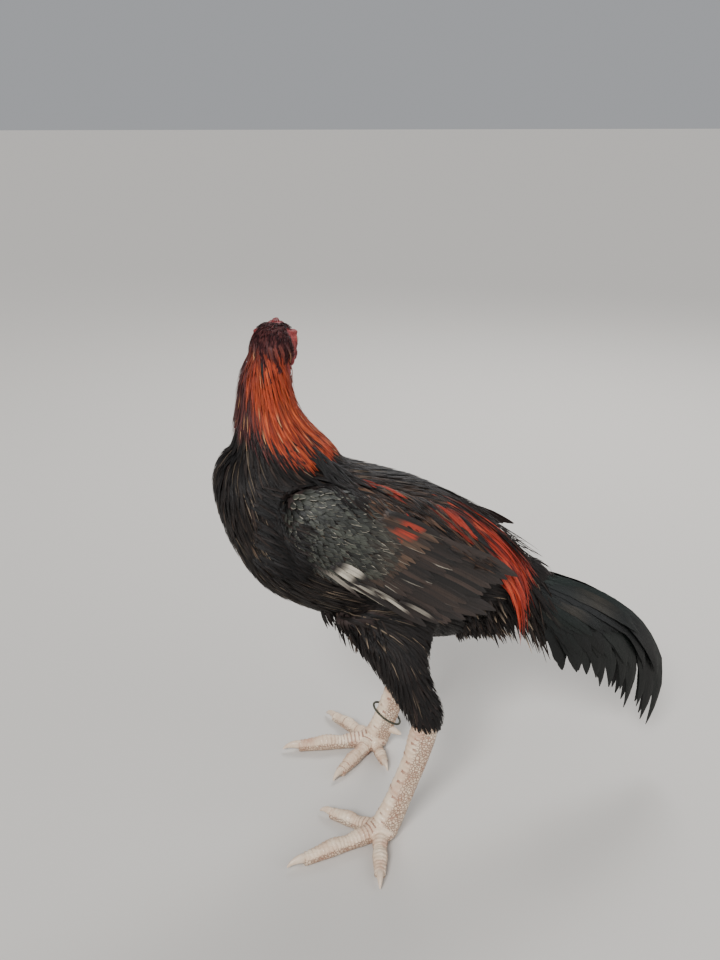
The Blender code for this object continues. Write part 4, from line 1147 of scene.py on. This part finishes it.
HACKLE_TOP = 548
HACKLE_LOW = 426
HACKLE_PITCH = 4.4
HACKLE_STEPS = 9
HACKLE_SHORTEST = 9
NAPE_TURN = (math.radians(-108), math.radians(-12))
MAROONS = swatch((50, 26, 27), (78, 38, 37), (106, 54, 48))
ORANGES = swatch((114, 37, 21), (162, 58, 29), (190, 85, 44))
DARKS = swatch((15, 13, 13), (32, 25, 23))
PALE_TIP = swatch((216, 160, 112))[0]
ROOT_BLACK = swatch((16, 13, 13))[0]


def neck_middle(height):
    """The middle of the neck at this height and its half sizes, in millimetres."""
    rows = np.array(NECK)[:, [2, 0, 1, 3, 4]]
    return [float(np.interp(height, rows[:, 0], rows[:, c])) for c in (1, 2, 3, 4)]


def nape_turn(height):
    """The bearing of the nape's line, which winds from the turned head to the back."""
    return np.interp(height, (440, 545), (NAPE_TURN[1], NAPE_TURN[0]))


def off_nape(turn, height):
    """How far a bearing round the neck lies from the nape's line, from 0 to half a turn."""
    away = (turn - nape_turn(height)) % (2 * np.pi)
    return np.minimum(away, 2 * np.pi - away)


def hackle_lie(place, normal):
    """The way that hackle feathers point here: down, and further back the lower they are."""
    level = float((place.z - SHIFT.z) / MM)
    x, y, _, _ = neck_middle(level)
    out = Vector(((place.x - SHIFT.x) / MM - x, (place.y - SHIFT.y) / MM - y, 0.0)).normalized()
    back = 0.15 + 0.55 * min(1.0, max(0.0, (472 - level) / 50))
    return Vector((back, 0.0, -1.0)) + out * 0.3


def dyed(colours, other, share):
    """These colours, and the other one where the share is 1."""
    share = share[..., None]
    return colours * (1 - share) + other * share


draw = np.random.default_rng(21)
rooted = []
for row in range(int((HACKLE_TOP - HACKLE_LOW) / HACKLE_PITCH) + 1):
    height = HACKLE_TOP - row * HACKLE_PITCH
    x, y, long, wide = neck_middle(height)
    count = int(math.pi * (long + wide) / np.interp(height, (430, 540), (3.4, 1.9)))
    for i in range(count):
        turn = 2 * math.pi * (i + draw.uniform(0.1, 0.9)) / count
        level = height + draw.uniform(-4, 4)
        start = at(x + long * math.cos(turn), y + wide * math.sin(turn), level)
        # None grows on the bare skin of the face.
        local = FROM_HEAD @ start / MM
        if level > 505 and local.x < 9 + 0.3 * (local.z + 10):
            continue
        end = np.interp(float(off_nape(turn, level)), (1.0, 1.7, 2.6), (416, 445, 463))
        longest = np.interp(level, (440, 548), (62, 22))
        reach = min(longest, (level - end) * 1.25) * draw.uniform(0.75, 1.15)
        if reach < HACKLE_SHORTEST:
            continue
        width = np.interp(level, (430, 540), (2.1, 1.15)) * draw.uniform(0.7, 1.2)
        rooted.append((*start, reach, width, turn, level))
rooted = np.array(rooted)
lengths = rooted[:, 3]
middles, outs = skins.combed(rooted[:, :3], hackle_lie, lengths, HACKLE_STEPS, (-1.5, 0.8, 5.0), 0.4)
# A feather that would twist over the folds of the throat is left out.
ahead = np.diff(middles, axis=1)
ahead /= np.linalg.norm(ahead, axis=2, keepdims=True)
smooth = ((ahead[:, 1:] * ahead[:, :-1]).sum(2).min(1) > 0.80) & (ahead[:, 2:, 2].max(1) < -0.35)
middles, outs, rooted = middles[smooth], outs[smooth], rooted[smooth]
starts, (widths, turns, heights) = rooted[:, :3], rooted[:, 4:].T
shares = even(HACKLE_STEPS)
halves = widths[:, None] * shaped(shares, 0.22, 0.4, 0.06, 1.25)
# Orange red along the nape's line, maroon beside it, and black in front where the neck widens.
count = len(turns)
away = off_nape(turns, heights) + draw.normal(0, 0.12, count)
red = np.clip((1.30 - away) / 0.45, 0, 1) * np.clip((544 - heights) / 12, 0, 1)
lowness = np.clip((478 - heights + 20 * draw.normal(0, 0.4, count)) / 26, 0, 1)
black = np.clip((away - 1.0) / 0.4, 0, 1) * lowness
wild = np.interp(heights, (450, 520), (1.0, 0.45))
maroon = blended(MAROONS, np.clip(0.5 + wild * (draw.random(count) - 0.5), 0, 1))
orange = blended(ORANGES, np.clip(0.55 + wild * (draw.random(count) - 0.5) * 1.3, 0, 1))
hue = dyed(dyed(maroon, orange, red), blended(DARKS, draw.random(count)), black)
hue[draw.random(count) < np.interp(heights, (440, 500), (0.22, 0.02))] = ROOT_BLACK
tints = shaded(hue, shares, (0, 0.4, 1), (0.6, 1, 1.08))
fringe = np.clip((466 - heights) / 24, 0, 1)[:, None] * np.clip(1 - shares / 0.5, 0, 1)
tints = dyed(tints, ROOT_BLACK, fringe)
pale = ((draw.random(count) < 0.05) * (1 - black))[:, None] * np.clip((shares - 0.6) / 0.4, 0, 1)
tints = dyed(tints, PALE_TIP, pale)
hackle_finish = plume_finish("hackle_feather", 0.42, 0.75, 9.0, 0.3)
hackle = plumes("neck_hackle", middles, outs, halves, tints, draw, starts)
placed(hackle, hackle_finish, "red_hackle", "neck")


# Tail: black feathers, painted dark green with a brighter painted sheen toward the root, that leave the
# rump, arch back and droop to ragged tips. They stand as a roof, flattest in the middle and upright at the
# sides, with coverts over them.

TAIL_ROOTS = (Vector((186, 0, 266)), Vector((186, 0, 232)))
TAIL_TIPS = (Vector((348, 0, 52)), Vector((222, 0, 152)))
TAIL_LEAVE = (Vector((1.2, 0, -0.40)), Vector((0.8, 0, -0.45)))
TAIL_ENDING = (Vector((-0.45, 0, -1.35)), Vector((0.15, 0, -1.0)))
TAIL_STEPS = 17
TAIL_DECK = 15
TAIL_SPREAD = 15
TAIL_ROLL = (math.radians(6), math.radians(44))
# Past half its length a feather turns from the roof's slope to stand on edge.
TAIL_TURN = ((0.5, 0.85), (1.0, 0.1))
# Black with a green tint, a painted sheen.
SHEEN_GREENS = swatch((8, 10, 10), (15, 22, 19))
# Each layer: count a side, how far down the fan it goes, half width, how much of the whole feather
# it has, and how far it stands off the middle.
TAIL_LAYERS = ((16, 1.0, 9.5, 1.0, 4.0), (13, 0.95, 9.0, 0.80, 8.0), (11, 0.9, 8.0, 0.55, 12.0))
# How far edges hang and the shaft stands on wide feathers, and how thick they are.
TAIL_SECTION = (0.10, 0.06, 0.5)


def crowded(steps):
    """Shares of a long feather's length where its steps stand, closer together near its tip."""
    return 1 - (1 - even(steps)) ** 1.35


def arc(start, leave, ending, stop, shares):
    """Points of a smooth curve between two places, with the directions at both ends."""
    t = np.asarray(shares)[:, None]
    start, stop = np.array(start), np.array(stop)
    span = np.linalg.norm(stop - start)
    one = start + np.array(leave) * span / 3
    two = stop - np.array(ending) * span / 3
    return start * (1 - t) ** 3 + 3 * one * t * (1 - t) ** 2 + 3 * two * t**2 * (1 - t) + stop * t**3


def packed(places):
    """Places in millimetres of the bird's own frame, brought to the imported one."""
    return places * MM + np.array(SHIFT)


draw = np.random.default_rng(31)
middles, outs, halves, tints = [], [], [], []
shares = crowded(TAIL_STEPS)
for count, lowest, half, reach, off in TAIL_LAYERS:
    for side in (-1, 1):
        for i in range(count):
            share = lowest * (i + 0.5 * (side > 0)) / count
            ends = (TAIL_ROOTS, TAIL_TIPS, TAIL_LEAVE, TAIL_ENDING)
            root, tip, leave, ending = (upper.lerp(lower, share) for upper, lower in ends)
            tip += Vector((5 * math.sin(23 * share), 0, 72 * share * (1 - share)))
            tip += Vector((draw.uniform(-4, 4), 0, draw.uniform(-5, 5)))
            run = arc(root, leave, ending, tip, shares * reach)
            along = np.clip((run[:, 0] - TAIL_ROOTS[0].x) / (TAIL_TIPS[0].x - TAIL_ROOTS[0].x), 0, 1)
            opened = 0.35 + 0.65 * np.clip(along / 0.35, 0, 1)
            swell = TAIL_SPREAD * np.sin(0.8 * math.pi * along) * (0.12 + 0.88 * math.sqrt(share))
            run[:, 1] = side * (off + TAIL_DECK * share * opened + swell + draw.normal(0, 1.5) * shares**2)
            middles.append(packed(run))
            ahead = np.gradient(run, axis=0)
            ahead /= np.linalg.norm(ahead, axis=1, keepdims=True)
            flat = np.array((0.0, side, 0.0))
            up = np.cross(ahead, flat) * side
            roll = TAIL_ROLL[0] + TAIL_ROLL[1] * (1 - share) ** 1.5 * np.interp(shares * reach, *TAIL_TURN)
            outs.append(flat * np.cos(roll)[:, None] + up * np.sin(roll)[:, None])
            halves.append(half * draw.uniform(0.9, 1.15) * shaped(shares, 0.35, 0.5, 0.06, 3.4))
            painted_sheen = blended(SHEEN_GREENS, np.full(TAIL_STEPS, draw.random()))
            # A few coverts get a faint pale streak, a painted highlight.
            if reach < 0.6 and i % 4 == 1:
                painted_sheen = painted_sheen + PAINTED_HIGHLIGHT * np.interp(shares, (0.3, 0.55, 0.8), (0, 0.05, 0))[:, None]
            # Brighter toward the root as a painted sheen, and darker to black toward the tip.
            tints.append(painted_sheen * np.interp(shares * reach, (0, 0.3, 0.7), (1.4, 1.0, 0.45))[:, None])
middles, outs, halves, tints = (np.array(a) for a in (middles, outs, halves, tints))
halves *= 1 + 0.10 * draw.uniform(-1, 1, halves.shape)
tail_finish = plume_finish("tail_feather", 0.38, 0.7, 9.0, 0.28, 0.04)
tail = plumes("tail_feathers", middles, outs, halves, tints, draw, section=TAIL_SECTION)
placed(tail, tail_finish, "tail_plumage", "tail")


# Saddle hackle: long, narrow, pointed feathers that sweep from the back over both sides of the
# rump and hang there in a fringe. They are black along the middle of the back and red beside it.

SADDLE_STEPS = 11
SADDLE_ROOTS = (56, 164)
# The rows on each side, how many of the last ones hang all the way down, and how many feathers
# a row has.
SADDLE_ROWS = 15
SADDLE_HANGING = 6
SADDLE_COUNT = 21
# Roots are found on the skin by looking down from this height over the back.
ABOVE_BACK = 480
DOWN = (0, 0, -1)
SADDLE_TIPS = (Vector((196, 12, 288)), Vector((170, 50, 200)))
SADDLE_REDS = swatch((86, 21, 15), (152, 42, 27), (192, 76, 45))


def pushed_out(middles, heights):
    """Lifts each point of these runs to at least this height in millimetres over the skin."""
    for run in middles:
        for k, height in enumerate(heights):
            place = Vector(run[k])
            found, normal, _ = skins.nearest(place)
            short = height * MM - (place - found).dot(normal)
            if short > 0:
                run[k] = place + normal * short
    return middles


draw = np.random.default_rng(41)
shares = even(SADDLE_STEPS)
middles, widths, spans = [], [], []
for side in (-1, 1):
    for row in range(SADDLE_ROWS):
        x = SADDLE_ROOTS[0] + (SADDLE_ROOTS[1] - SADDLE_ROOTS[0]) * row / (SADDLE_ROWS - 1)
        spread = np.interp(x, (56, 130, 164), (40, 47, 34))
        for i in range(SADDLE_COUNT):
            share = (i + draw.uniform(0, 1)) / SADDLE_COUNT
            over = at(x + draw.uniform(-6, 6), side * (2 + spread * share), ABOVE_BACK)
            hit = skins.struck(over, DOWN)
            if hit is None:
                continue
            root = bird(hit)
            tip = np.array(SADDLE_TIPS[0].lerp(SADDLE_TIPS[1], share)) + draw.uniform(-7, 7, 3)
            tip[1] = side * (12 + 38 * share**0.6 + draw.uniform(-2, 2))
            leave = Vector((0.86, side * 0.30 * share, -0.22 - 0.16 * share))
            ending = Vector((0.75 - 0.70 * share, 0.0, -0.60 - 0.45 * share))
            if row < SADDLE_ROWS - SADDLE_HANGING:
                reach = min(1.0, draw.uniform(56, 84) / np.linalg.norm(tip - root))
            else:
                reach = draw.uniform(0.78, 1.03)
            middles.append(packed(arc(root, leave, ending, tip, shares * reach)))
            widths.append(draw.uniform(1.1, 2.0))
            spans.append(share)
middles = pushed_out(np.array(middles), np.interp(shares, (0.0, 0.12, 1.0), (-1.5, 1.0, 6.0)))
widths, spans, count = np.array(widths), np.array(spans), len(spans)
outs = np.array([[skins.nearest(Vector(place))[1] for place in run] for run in middles])
halves = widths[:, None] * shaped(shares, 0.55, 0.4, 0.06, 1.25)
red = np.clip((spans + draw.normal(0, 0.07, count) - 0.20) / 0.12, 0, 1)
red = red * np.clip((bird(middles)[:, -1, 0] - 128 + draw.normal(0, 10, count)) / 24, 0, 1)
reds = blended(SADDLE_REDS, np.clip(draw.normal(0.5, 0.28, count), 0, 1))
hue = dyed(blended(BLACKS, draw.random(count) * 0.5), reds, red)
tints = shaded(hue, shares, (0, 0.4, 1), (0.6, 1, 1.1))
ends = np.clip((shares - 0.86) / 0.14, 0, 1) * (draw.random(count) < 0.35)[:, None]
tints = dyed(tints, ROOT_BLACK, ends)
saddle = plumes("saddle_hackle", middles, outs, halves, tints, draw)
placed(saddle, hackle_finish, "red_hackle", "torso")


# Shoulder feathers: brown, streaky feathers from the sides of the back. They lie over the upper
# edge of the folded wing and close the gap between wing and back.

SHOULDER_STEPS = 9
SHOULDER_ROWS = 8
SHOULDER_COUNT = 40
SHOULDER_X = (-62, 98)
SHOULDER_Y = (30, 56)
SHOULDER_FRONT = 260
WING_EDGE = ((-60, 10, 70, 102, 154), (396, 382, 348, 326, 292))
WING_PLANE = 71
# The ways that feathers leave the skin and end, over the wing and in front of it.
SHOULDER_LIE = ((0.85, 0.35, 0.0), (0.80, 0.20, -0.55))
FRONT_LIE = ((0.9, 0.4, -0.3), (0.9, 0.0, -0.5))
BESIDE_WING = 200
SHOULDER_BROWNS = swatch((12, 10, 9), (24, 18, 16), (46, 33, 26), (84, 60, 44))


def mirrored(way, side):
    """This direction of the right side on the side that is asked for."""
    return Vector((way[0], side * way[1], way[2]))


draw = np.random.default_rng(43)
shares = even(SHOULDER_STEPS)
middles = []
for side in (-1, 1):
    for row in range(SHOULDER_ROWS):
        fold = row / (SHOULDER_ROWS - 1)
        y = SHOULDER_Y[0] + (SHOULDER_Y[1] - SHOULDER_Y[0]) * row / (SHOULDER_ROWS - 1)
        for i in range(SHOULDER_COUNT):
            x = SHOULDER_X[0] + (SHOULDER_X[1] - SHOULDER_X[0]) * (i + draw.uniform(0, 1)) / SHOULDER_COUNT
            hit = skins.struck(at(x, side * (y + draw.uniform(-2, 2)), ABOVE_BACK), DOWN)
            if hit is None:
                continue
            back = x + draw.uniform(26, 44)
            edge = np.interp(back, *WING_EDGE) - RIGHT_WING_DROP * (side > 0)
            tip = np.array((back, side * (WING_PLANE - 16 + 24 * fold), edge + 12 - 22 * fold))
            tip += draw.uniform(-4, 4, 3)
            leave, ending = (mirrored(way, side) for way in SHOULDER_LIE)
            middles.append(packed(arc(bird(hit), leave, ending, tip, shares)))
    # Where the breast meets the front of the wing, feathers lie from one over the other.
    leave, ending = mirrored(FRONT_LIE[0], side), FRONT_LIE[1]
    for i in range(SHOULDER_FRONT):
        x, level = draw.uniform(-122, -84), draw.uniform(318, 404)
        beside = at(x, side * BESIDE_WING, level - RIGHT_WING_DROP * (side > 0) / 2)
        root = bird(skins.struck(beside, (0, -side, 0)))
        tip = root + (draw.uniform(24, 36), side * 9, draw.uniform(-22, -10))
        middles.append(packed(arc(root, leave, ending, tip, shares)))
middles = pushed_out(np.array(middles), np.interp(shares, (0.0, 0.15, 1.0), (-1.5, 2.0, 6.5)))
outs = np.array([[(0.10, 0.9 * np.sign(place[1]), 0.75) for place in run] for run in bird(middles)])
count = len(middles)
halves = draw.uniform(1.2, 2.3, count)[:, None] * shaped(shares, 0.55, 0.5, 0.10, 1.7)
browns = np.clip(draw.random(count) - 0.5 * (bird(middles[:, 0])[:, 0] < -40), 0, 1)
hue = reddened(blended(SHOULDER_BROWNS, browns), bird(middles[:, 5]), draw, 0.3, 0.8)
tints = shaded(hue, shares, (0, 0.5, 1), (0.6, 0.95, 1.15))
shoulder = plumes("shoulder_feathers", middles, outs, halves, tints, draw)
placed(shoulder, coat_finish, "black_plumage", "torso")


# Fluff: loose, soft black down that hangs under the rump and round the root of the tail, and a
# little between the breast and the thighs.

FLUFF_STEPS = 6

draw = np.random.default_rng(45)
starts = scattered(body_skin, 3.4, inside((104, math.inf), (190, 262)), 45)
rear = np.clip((bird(starts)[:, 0] - 104) / 60, 0.25, 1) + np.clip((bird(starts)[:, 0] - 165) / 30, 0, 0.5)
front = scattered(body_skin, 4.0, inside((-46, 14), (220, 252)), 46)
starts, rear = np.vstack([starts, front]), np.concatenate([rear, np.full(len(front), 0.45)])
shares = even(FLUFF_STEPS)
middles = []
for start, amount in zip(starts, rear):
    place, normal, _ = skins.nearest(Vector(start))
    fall = Vector((0.45 + draw.normal(0, 0.16), draw.normal(0, 0.14), -1.0)).normalized()
    reach = draw.uniform(28, 50) * amount
    root = np.array(place - normal * 0.001 - SHIFT) / MM
    tip = root + np.array(normal) * 5 + np.array(fall) * reach
    middles.append(packed(arc(root, normal * 0.6 + fall * 0.5, fall, tip, shares)))
middles = pushed_out(np.array(middles), np.interp(shares, (0, 1), (-1.0, 5.0)))
count = len(middles)
across = np.stack([draw.normal(0, wander, count) for wander in (1, 1, 0.3)], -1)
outs = np.repeat(across[:, None, :], FLUFF_STEPS, 1)
halves = draw.uniform(0.9, 1.9, count)[:, None] * shaped(shares, 0.5, 0.5, 0.12, 1.6)
hue = blended(BLACKS, np.clip(draw.normal(0.25, 0.2, count), 0, 1))
tints = np.repeat(hue[:, None, :], FLUFF_STEPS, 1)
# A few down tips are pale grey, painted highlights.
grey = (draw.random(count) < 0.10)[:, None] * np.clip((shares - 0.5) / 0.5, 0, 1)
tints = dyed(tints, PAINTED_HIGHLIGHT, grey)
fluff = plumes("rump_fluff", middles, outs, halves, tints, draw)
placed(fluff, coat_finish, "black_plumage", "torso")


# Wings: folded against the flanks. Long dark brown flights with white edges lie lowest, then the
# secondaries, the coverts over their roots and the small scale-like feathers of the bow.

WING_STEPS = 12
RIGHT_TIP_SHIFT = Vector((31, 9))
BAR_WHITE = swatch((186, 178, 162))[0]
DARK_WING = swatch((20, 16, 15), (34, 26, 23), (52, 40, 34))
BROWN_WING = swatch((32, 25, 22), (52, 39, 31), (80, 60, 46))
BOW_WING = swatch((30, 31, 28), (46, 48, 43), (66, 68, 60))
# Each tier: roots and tips along and up the flank, count, half width, how far off the wing's plane,
# how far off the arm, and its colours.
WING_TIERS = (
    ("flight", ((-50, 318), (10, 300)), ((58, 244), (132, 250)), 9, 7.5, 0.5, None, DARK_WING),
    ("secondary", ((-30, 314), (44, 346)), ((70, 252), (154, 290)), 15, 7.5, 3.0, None, DARK_WING),
    ("greater", ((-46, 322), (20, 366)), ((24, 272), (102, 324)), 22, 5.0, 6.0, 1.5, DARK_WING),
    ("median", ((-52, 334), (8, 380)), ((2, 288), (70, 346)), 24, 3.8, 8.0, 2.6, BROWN_WING),
    ("bar", ((-64, 330), (18, 284)), ((-8, 286), (66, 250)), 5, 2.1, 9.0, 4.2, DARK_WING),
    ("patch", ((-48, 328), (-44, 332)), ((-12, 300), (-8, 304)), 2, 3.9, 10.0, 6.6, DARK_WING),
)
LONG_TIERS = ("flight", "secondary")
WHITE_TIERS = ("bar", "patch")
# Pale edges: where they stand along the feather, how pale they are there, and how far that is
# drawn down by chance. The foremost of the greater coverts have white ones.
WHITE_COVERTS = 7
COVERT_EDGE = ((0.4, 0.8, 1.0), (0, 0.74, 0.74), (0.2, 1.0))
WING_EDGES = {
    "flight": ((0.1, 0.25, 0.55, 0.75), (0, 1, 1, 0), (0.7, 1.0)),
    "secondary": ((0.4, 0.8, 1.0), (0, 0.55, 0.55), (0.2, 1.0)),
    "foremost": ((0.3, 0.45, 0.8, 1.0), (0, 1, 1, 0), (0.5, 1.0)),
    "greater": COVERT_EDGE,
    "median": COVERT_EDGE,
}
WING_SECTION = (0.16, 0.06, 0.5)

draw = np.random.default_rng(51)
shares = crowded(WING_STEPS)
wing_finish = plume_finish("wing_feather", 0.42, 0.8, 7.0, 0.4)
for name, side, drop, shift in (
    ("wing_left", -1, 0, Vector((0, 0))),
    ("wing_right", 1, RIGHT_WING_DROP, RIGHT_TIP_SHIFT),
):
    middles, outs, halves, tints, rims = [], [], [], [], []
    for tier, roots, tips, count, half, off, lift, colours in WING_TIERS:
        sag = 6.0 if tier in LONG_TIERS else 3.0
        fullest, power = (0.5, 3.6) if tier in LONG_TIERS else (0.55, 3.0)
        root_share = 0.12 if tier in WHITE_TIERS else 0.5
        for i in range(count):
            share = (i + draw.uniform(-0.15, 0.15)) / (count - 1)
            root = Vector(roots[0]).lerp(Vector(roots[1]), share) - Vector((0, drop))
            tip = Vector(tips[0]).lerp(Vector(tips[1]), share)
            tip += shift if lift is None else Vector((0, -drop))
            tip += Vector((draw.uniform(-5, 5), draw.uniform(-2, 2)))
            run = []
            for t in shares:
                flat = root.lerp(tip, t) + Vector((0, sag)) * (4 * t * (1 - t))
                spread = WING_PLANE - 10 * max(0.0, (flat.x - 50) / 100) ** 2 + off + 1.1 * i / count
                place = at(flat.x, 0, flat.y)
                face = skins.struck(place + Vector((0, side * 0.2, 0)), (0, -side, 0))
                skin = side * ((face - SHIFT).y / MM) if face else 0.0
                if lift is None:
                    spread = max(spread, skin + 0.4)
                elif t > 0:
                    spread = max(spread, skin + lift + 1.2 * t)
                else:
                    spread = skin - 3
                run.append(place + Vector((0, side * spread * MM, 0)))
            middles.append(run)
            outs.append([(0.08, side, 0.10)] * WING_STEPS)
            halves.append(half * shaped(shares, root_share, fullest, 0.10, power))
            own = blended(colours, np.full(WING_STEPS, draw.random()))
            own = own * np.interp(shares, (0, 0.4, 1), (0.7, 0.95, 1.1))[:, None]
            red = np.clip(red_share(bird(np.array(run))) * 4 - 1.2, 0, 1)
            red = red * (draw.uniform(0.6, 1.0) if tier == "median" and draw.random() < 0.75 else 0.0)
            own = dyed(own, PATCH_REDS[1], red)
            if tier in WHITE_TIERS:
                amount = 0.85 if tier == "patch" else draw.uniform(0.35, 0.7)
                white = np.interp(shares, (0.3, 0.45, 0.7, 0.85), (0, 1, 1, 0)) * amount
                own = dyed(own, BAR_WHITE, white)
            else:
                kind = "foremost" if tier == "greater" and i < WHITE_COVERTS else tier
                stops, levels, limits = WING_EDGES[kind]
                white = np.interp(shares, stops, levels) * draw.uniform(*limits)
            tints.append(own)
            edges = np.zeros((WING_STEPS, 2))
            edges[:, int(side < 0)] = white
            rims.append(edges)
    middles, outs, halves, tints, rims = (np.array(a) for a in (middles, outs, halves, tints, rims))
    halves *= 1 + 0.05 * draw.uniform(-1, 1, halves.shape)
    flights = plumes(name + "_flight", middles, outs, halves, tints, draw, section=WING_SECTION, rims=rims)
    placed(flights, wing_finish, "wing_plumage", name)

# The bow: rows of small round feathers over the arm, from the wrist back.
BOW_PITCH = 3.2
BOW_STEPS = 5
BOW_FLOW = Vector((1.0, 0, -0.62))
arm = inside((-92, 64), (284, math.inf))
shares = even(BOW_STEPS)
for name, seed, side in (("bow_left", 61, -1), ("bow_right", 62, 1)):
    draw = np.random.default_rng(seed)
    starts = scattered(body_skin, BOW_PITCH, lambda p: (side * p[:, 1] > 66) & arm(p), seed)
    home, count = bird(starts), len(starts)
    lengths = np.interp(home[:, 0], (-85, -20, 60), (10, 17, 34)) * draw.uniform(0.8, 1.25, count)
    middles, outs = skins.combed(starts, lambda *here: BOW_FLOW, lengths, BOW_STEPS, (-1.0, 1.6, 5.8))
    halves = draw.uniform(2.0, 3.2, count)[:, None] * shaped(shares, 0.6, 0.55, 0.12, 2.6)
    rear = np.clip((home[:, 0] + 20) / 50, 0, 1)
    hue = dyed(blended(BOW_WING, draw.random(count)), blended(BROWN_WING, draw.random(count)), rear)
    tints = shaded(reddened(hue, home, draw), shares, (0, 0.6, 1), (0.5, 0.9, 1.1))
    light = np.where(draw.random(count) < 0.55, draw.uniform(0.50, 0.76, count), 0.0)
    rims = light[:, None, None] * np.clip(shares / 0.5, 0, 1)[:, None]
    bow = plumes(name, middles, outs, halves, tints, draw, starts, rims=rims)
    placed(bow, wing_finish, "wing_plumage", "wing_left" if side < 0 else "wing_right")


# Crown: short, stiff, bristly feathers of dark maroon, like all others of keratin. They are rooted
# in the skin over the back of the head and lie down and back, as far as the hackle.

CROWN_PITCH = 1.25
CROWN_STEPS = 5
CROWN_FLOW = (HEAD.to_3x3() @ Vector((1.0, 0.0, -0.35))).normalized() + Vector((0, 0, -0.4))
CROWN_MAROONS = swatch((40, 23, 25), (70, 38, 40), (96, 54, 52))


def on_crown(p):
    """A test for places on the crown, behind the comb and above the ears."""
    x, y, z = in_head(packed(p)).T
    side = np.abs(y)
    top = (x > -19) & (z > 15.5) & ((side > 6.5) | (x > -6)) & (side < 13)
    return top | ((x > -2 + 0.25 * side) & (z > 4 - 0.9 * x))


draw = np.random.default_rng(71)
starts = scattered(head_skin, CROWN_PITCH, on_crown, 71)
count = len(starts)
lengths = draw.uniform(6.5, 10.5, count)
middles, outs = skins.combed(starts, lambda *here: CROWN_FLOW, lengths, CROWN_STEPS, (-0.6, 0.3, 2.2))
halves = draw.uniform(0.6, 1.0, count)[:, None] * shaped(even(CROWN_STEPS), 0.6, 0.5, 0.08, 1.4)
tints = np.repeat(blended(CROWN_MAROONS, draw.random(count))[:, None, :], CROWN_STEPS, 1)
crown_finish = plume_finish("crown_feather", 0.6, 0.75, 9.0, 0.12)
crown = plumes("crown_feathers", middles, outs, halves, tints, draw, starts)
placed(crown, crown_finish, "red_hackle", "head")


# Floor, light and camera: a plain pale floor of paper under soft studio light, seen from where the
# bird was looked at, slightly above its back and ahead of its left side.

CAMERA_PLACE = Vector((-0.171, -0.970, 0.742))
CAMERA_PITCH = math.radians(20)
CAMERA_BEARING = math.radians(-10)
FLOOR_REACH = 60

corners = FLOOR_REACH * np.array([(-1, -1, 0), (1, -1, 0), (1, 1, 0), (-1, 1, 0)])
floor_mesh = bpy.data.meshes.new("floor")
floor_mesh.from_pydata(corners.tolist(), [], [(0, 1, 2, 3)])
floor = linked("floor", floor_mesh)
paper = Finish("floor_paper", 0.85)
paper.dress(paint(206, 202, 196))
floor_mesh.materials.append(paper.material)

# The key light is a broad, far one, so that the floor stays pale to its far edge.
for name, kind, place, power, size, aim in (
    ("key", "SUN", (-1.1, -1.9, 2.0), 3.0, math.radians(19), (0, 0, 0.25)),
    ("fill", "AREA", (1.7, -1.4, 1.2), 18.0, 1.8, (0, 0, 0.25)),
    ("rim", "AREA", (0.9, 1.7, 2.0), 34.0, 1.0, (0, 0, 0.3)),
):
    lamp = linked(name, bpy.data.lights.new(name, kind))
    lamp.data.energy = power
    setattr(lamp.data, "angle" if kind == "SUN" else "size", size)
    lamp.location = place
    lamp.rotation_euler = (Vector(aim) - Vector(place)).to_track_quat("-Z", "Y").to_euler()
world = bpy.data.worlds.new("studio")
world.use_nodes = True
world.node_tree.nodes["Background"].inputs["Color"].default_value = (*paint(214, 216, 220), 1.0)
world.node_tree.nodes["Background"].inputs["Strength"].default_value = 0.56
bpy.context.scene.world = world

camera = linked("camera", bpy.data.cameras.new("camera"))
camera.data.lens, camera.data.sensor_width = 37.5, 36.0
camera.location = CAMERA_PLACE + SHIFT
camera.rotation_euler = (math.pi / 2 - CAMERA_PITCH, 0, CAMERA_BEARING)
bpy.context.scene.camera = camera
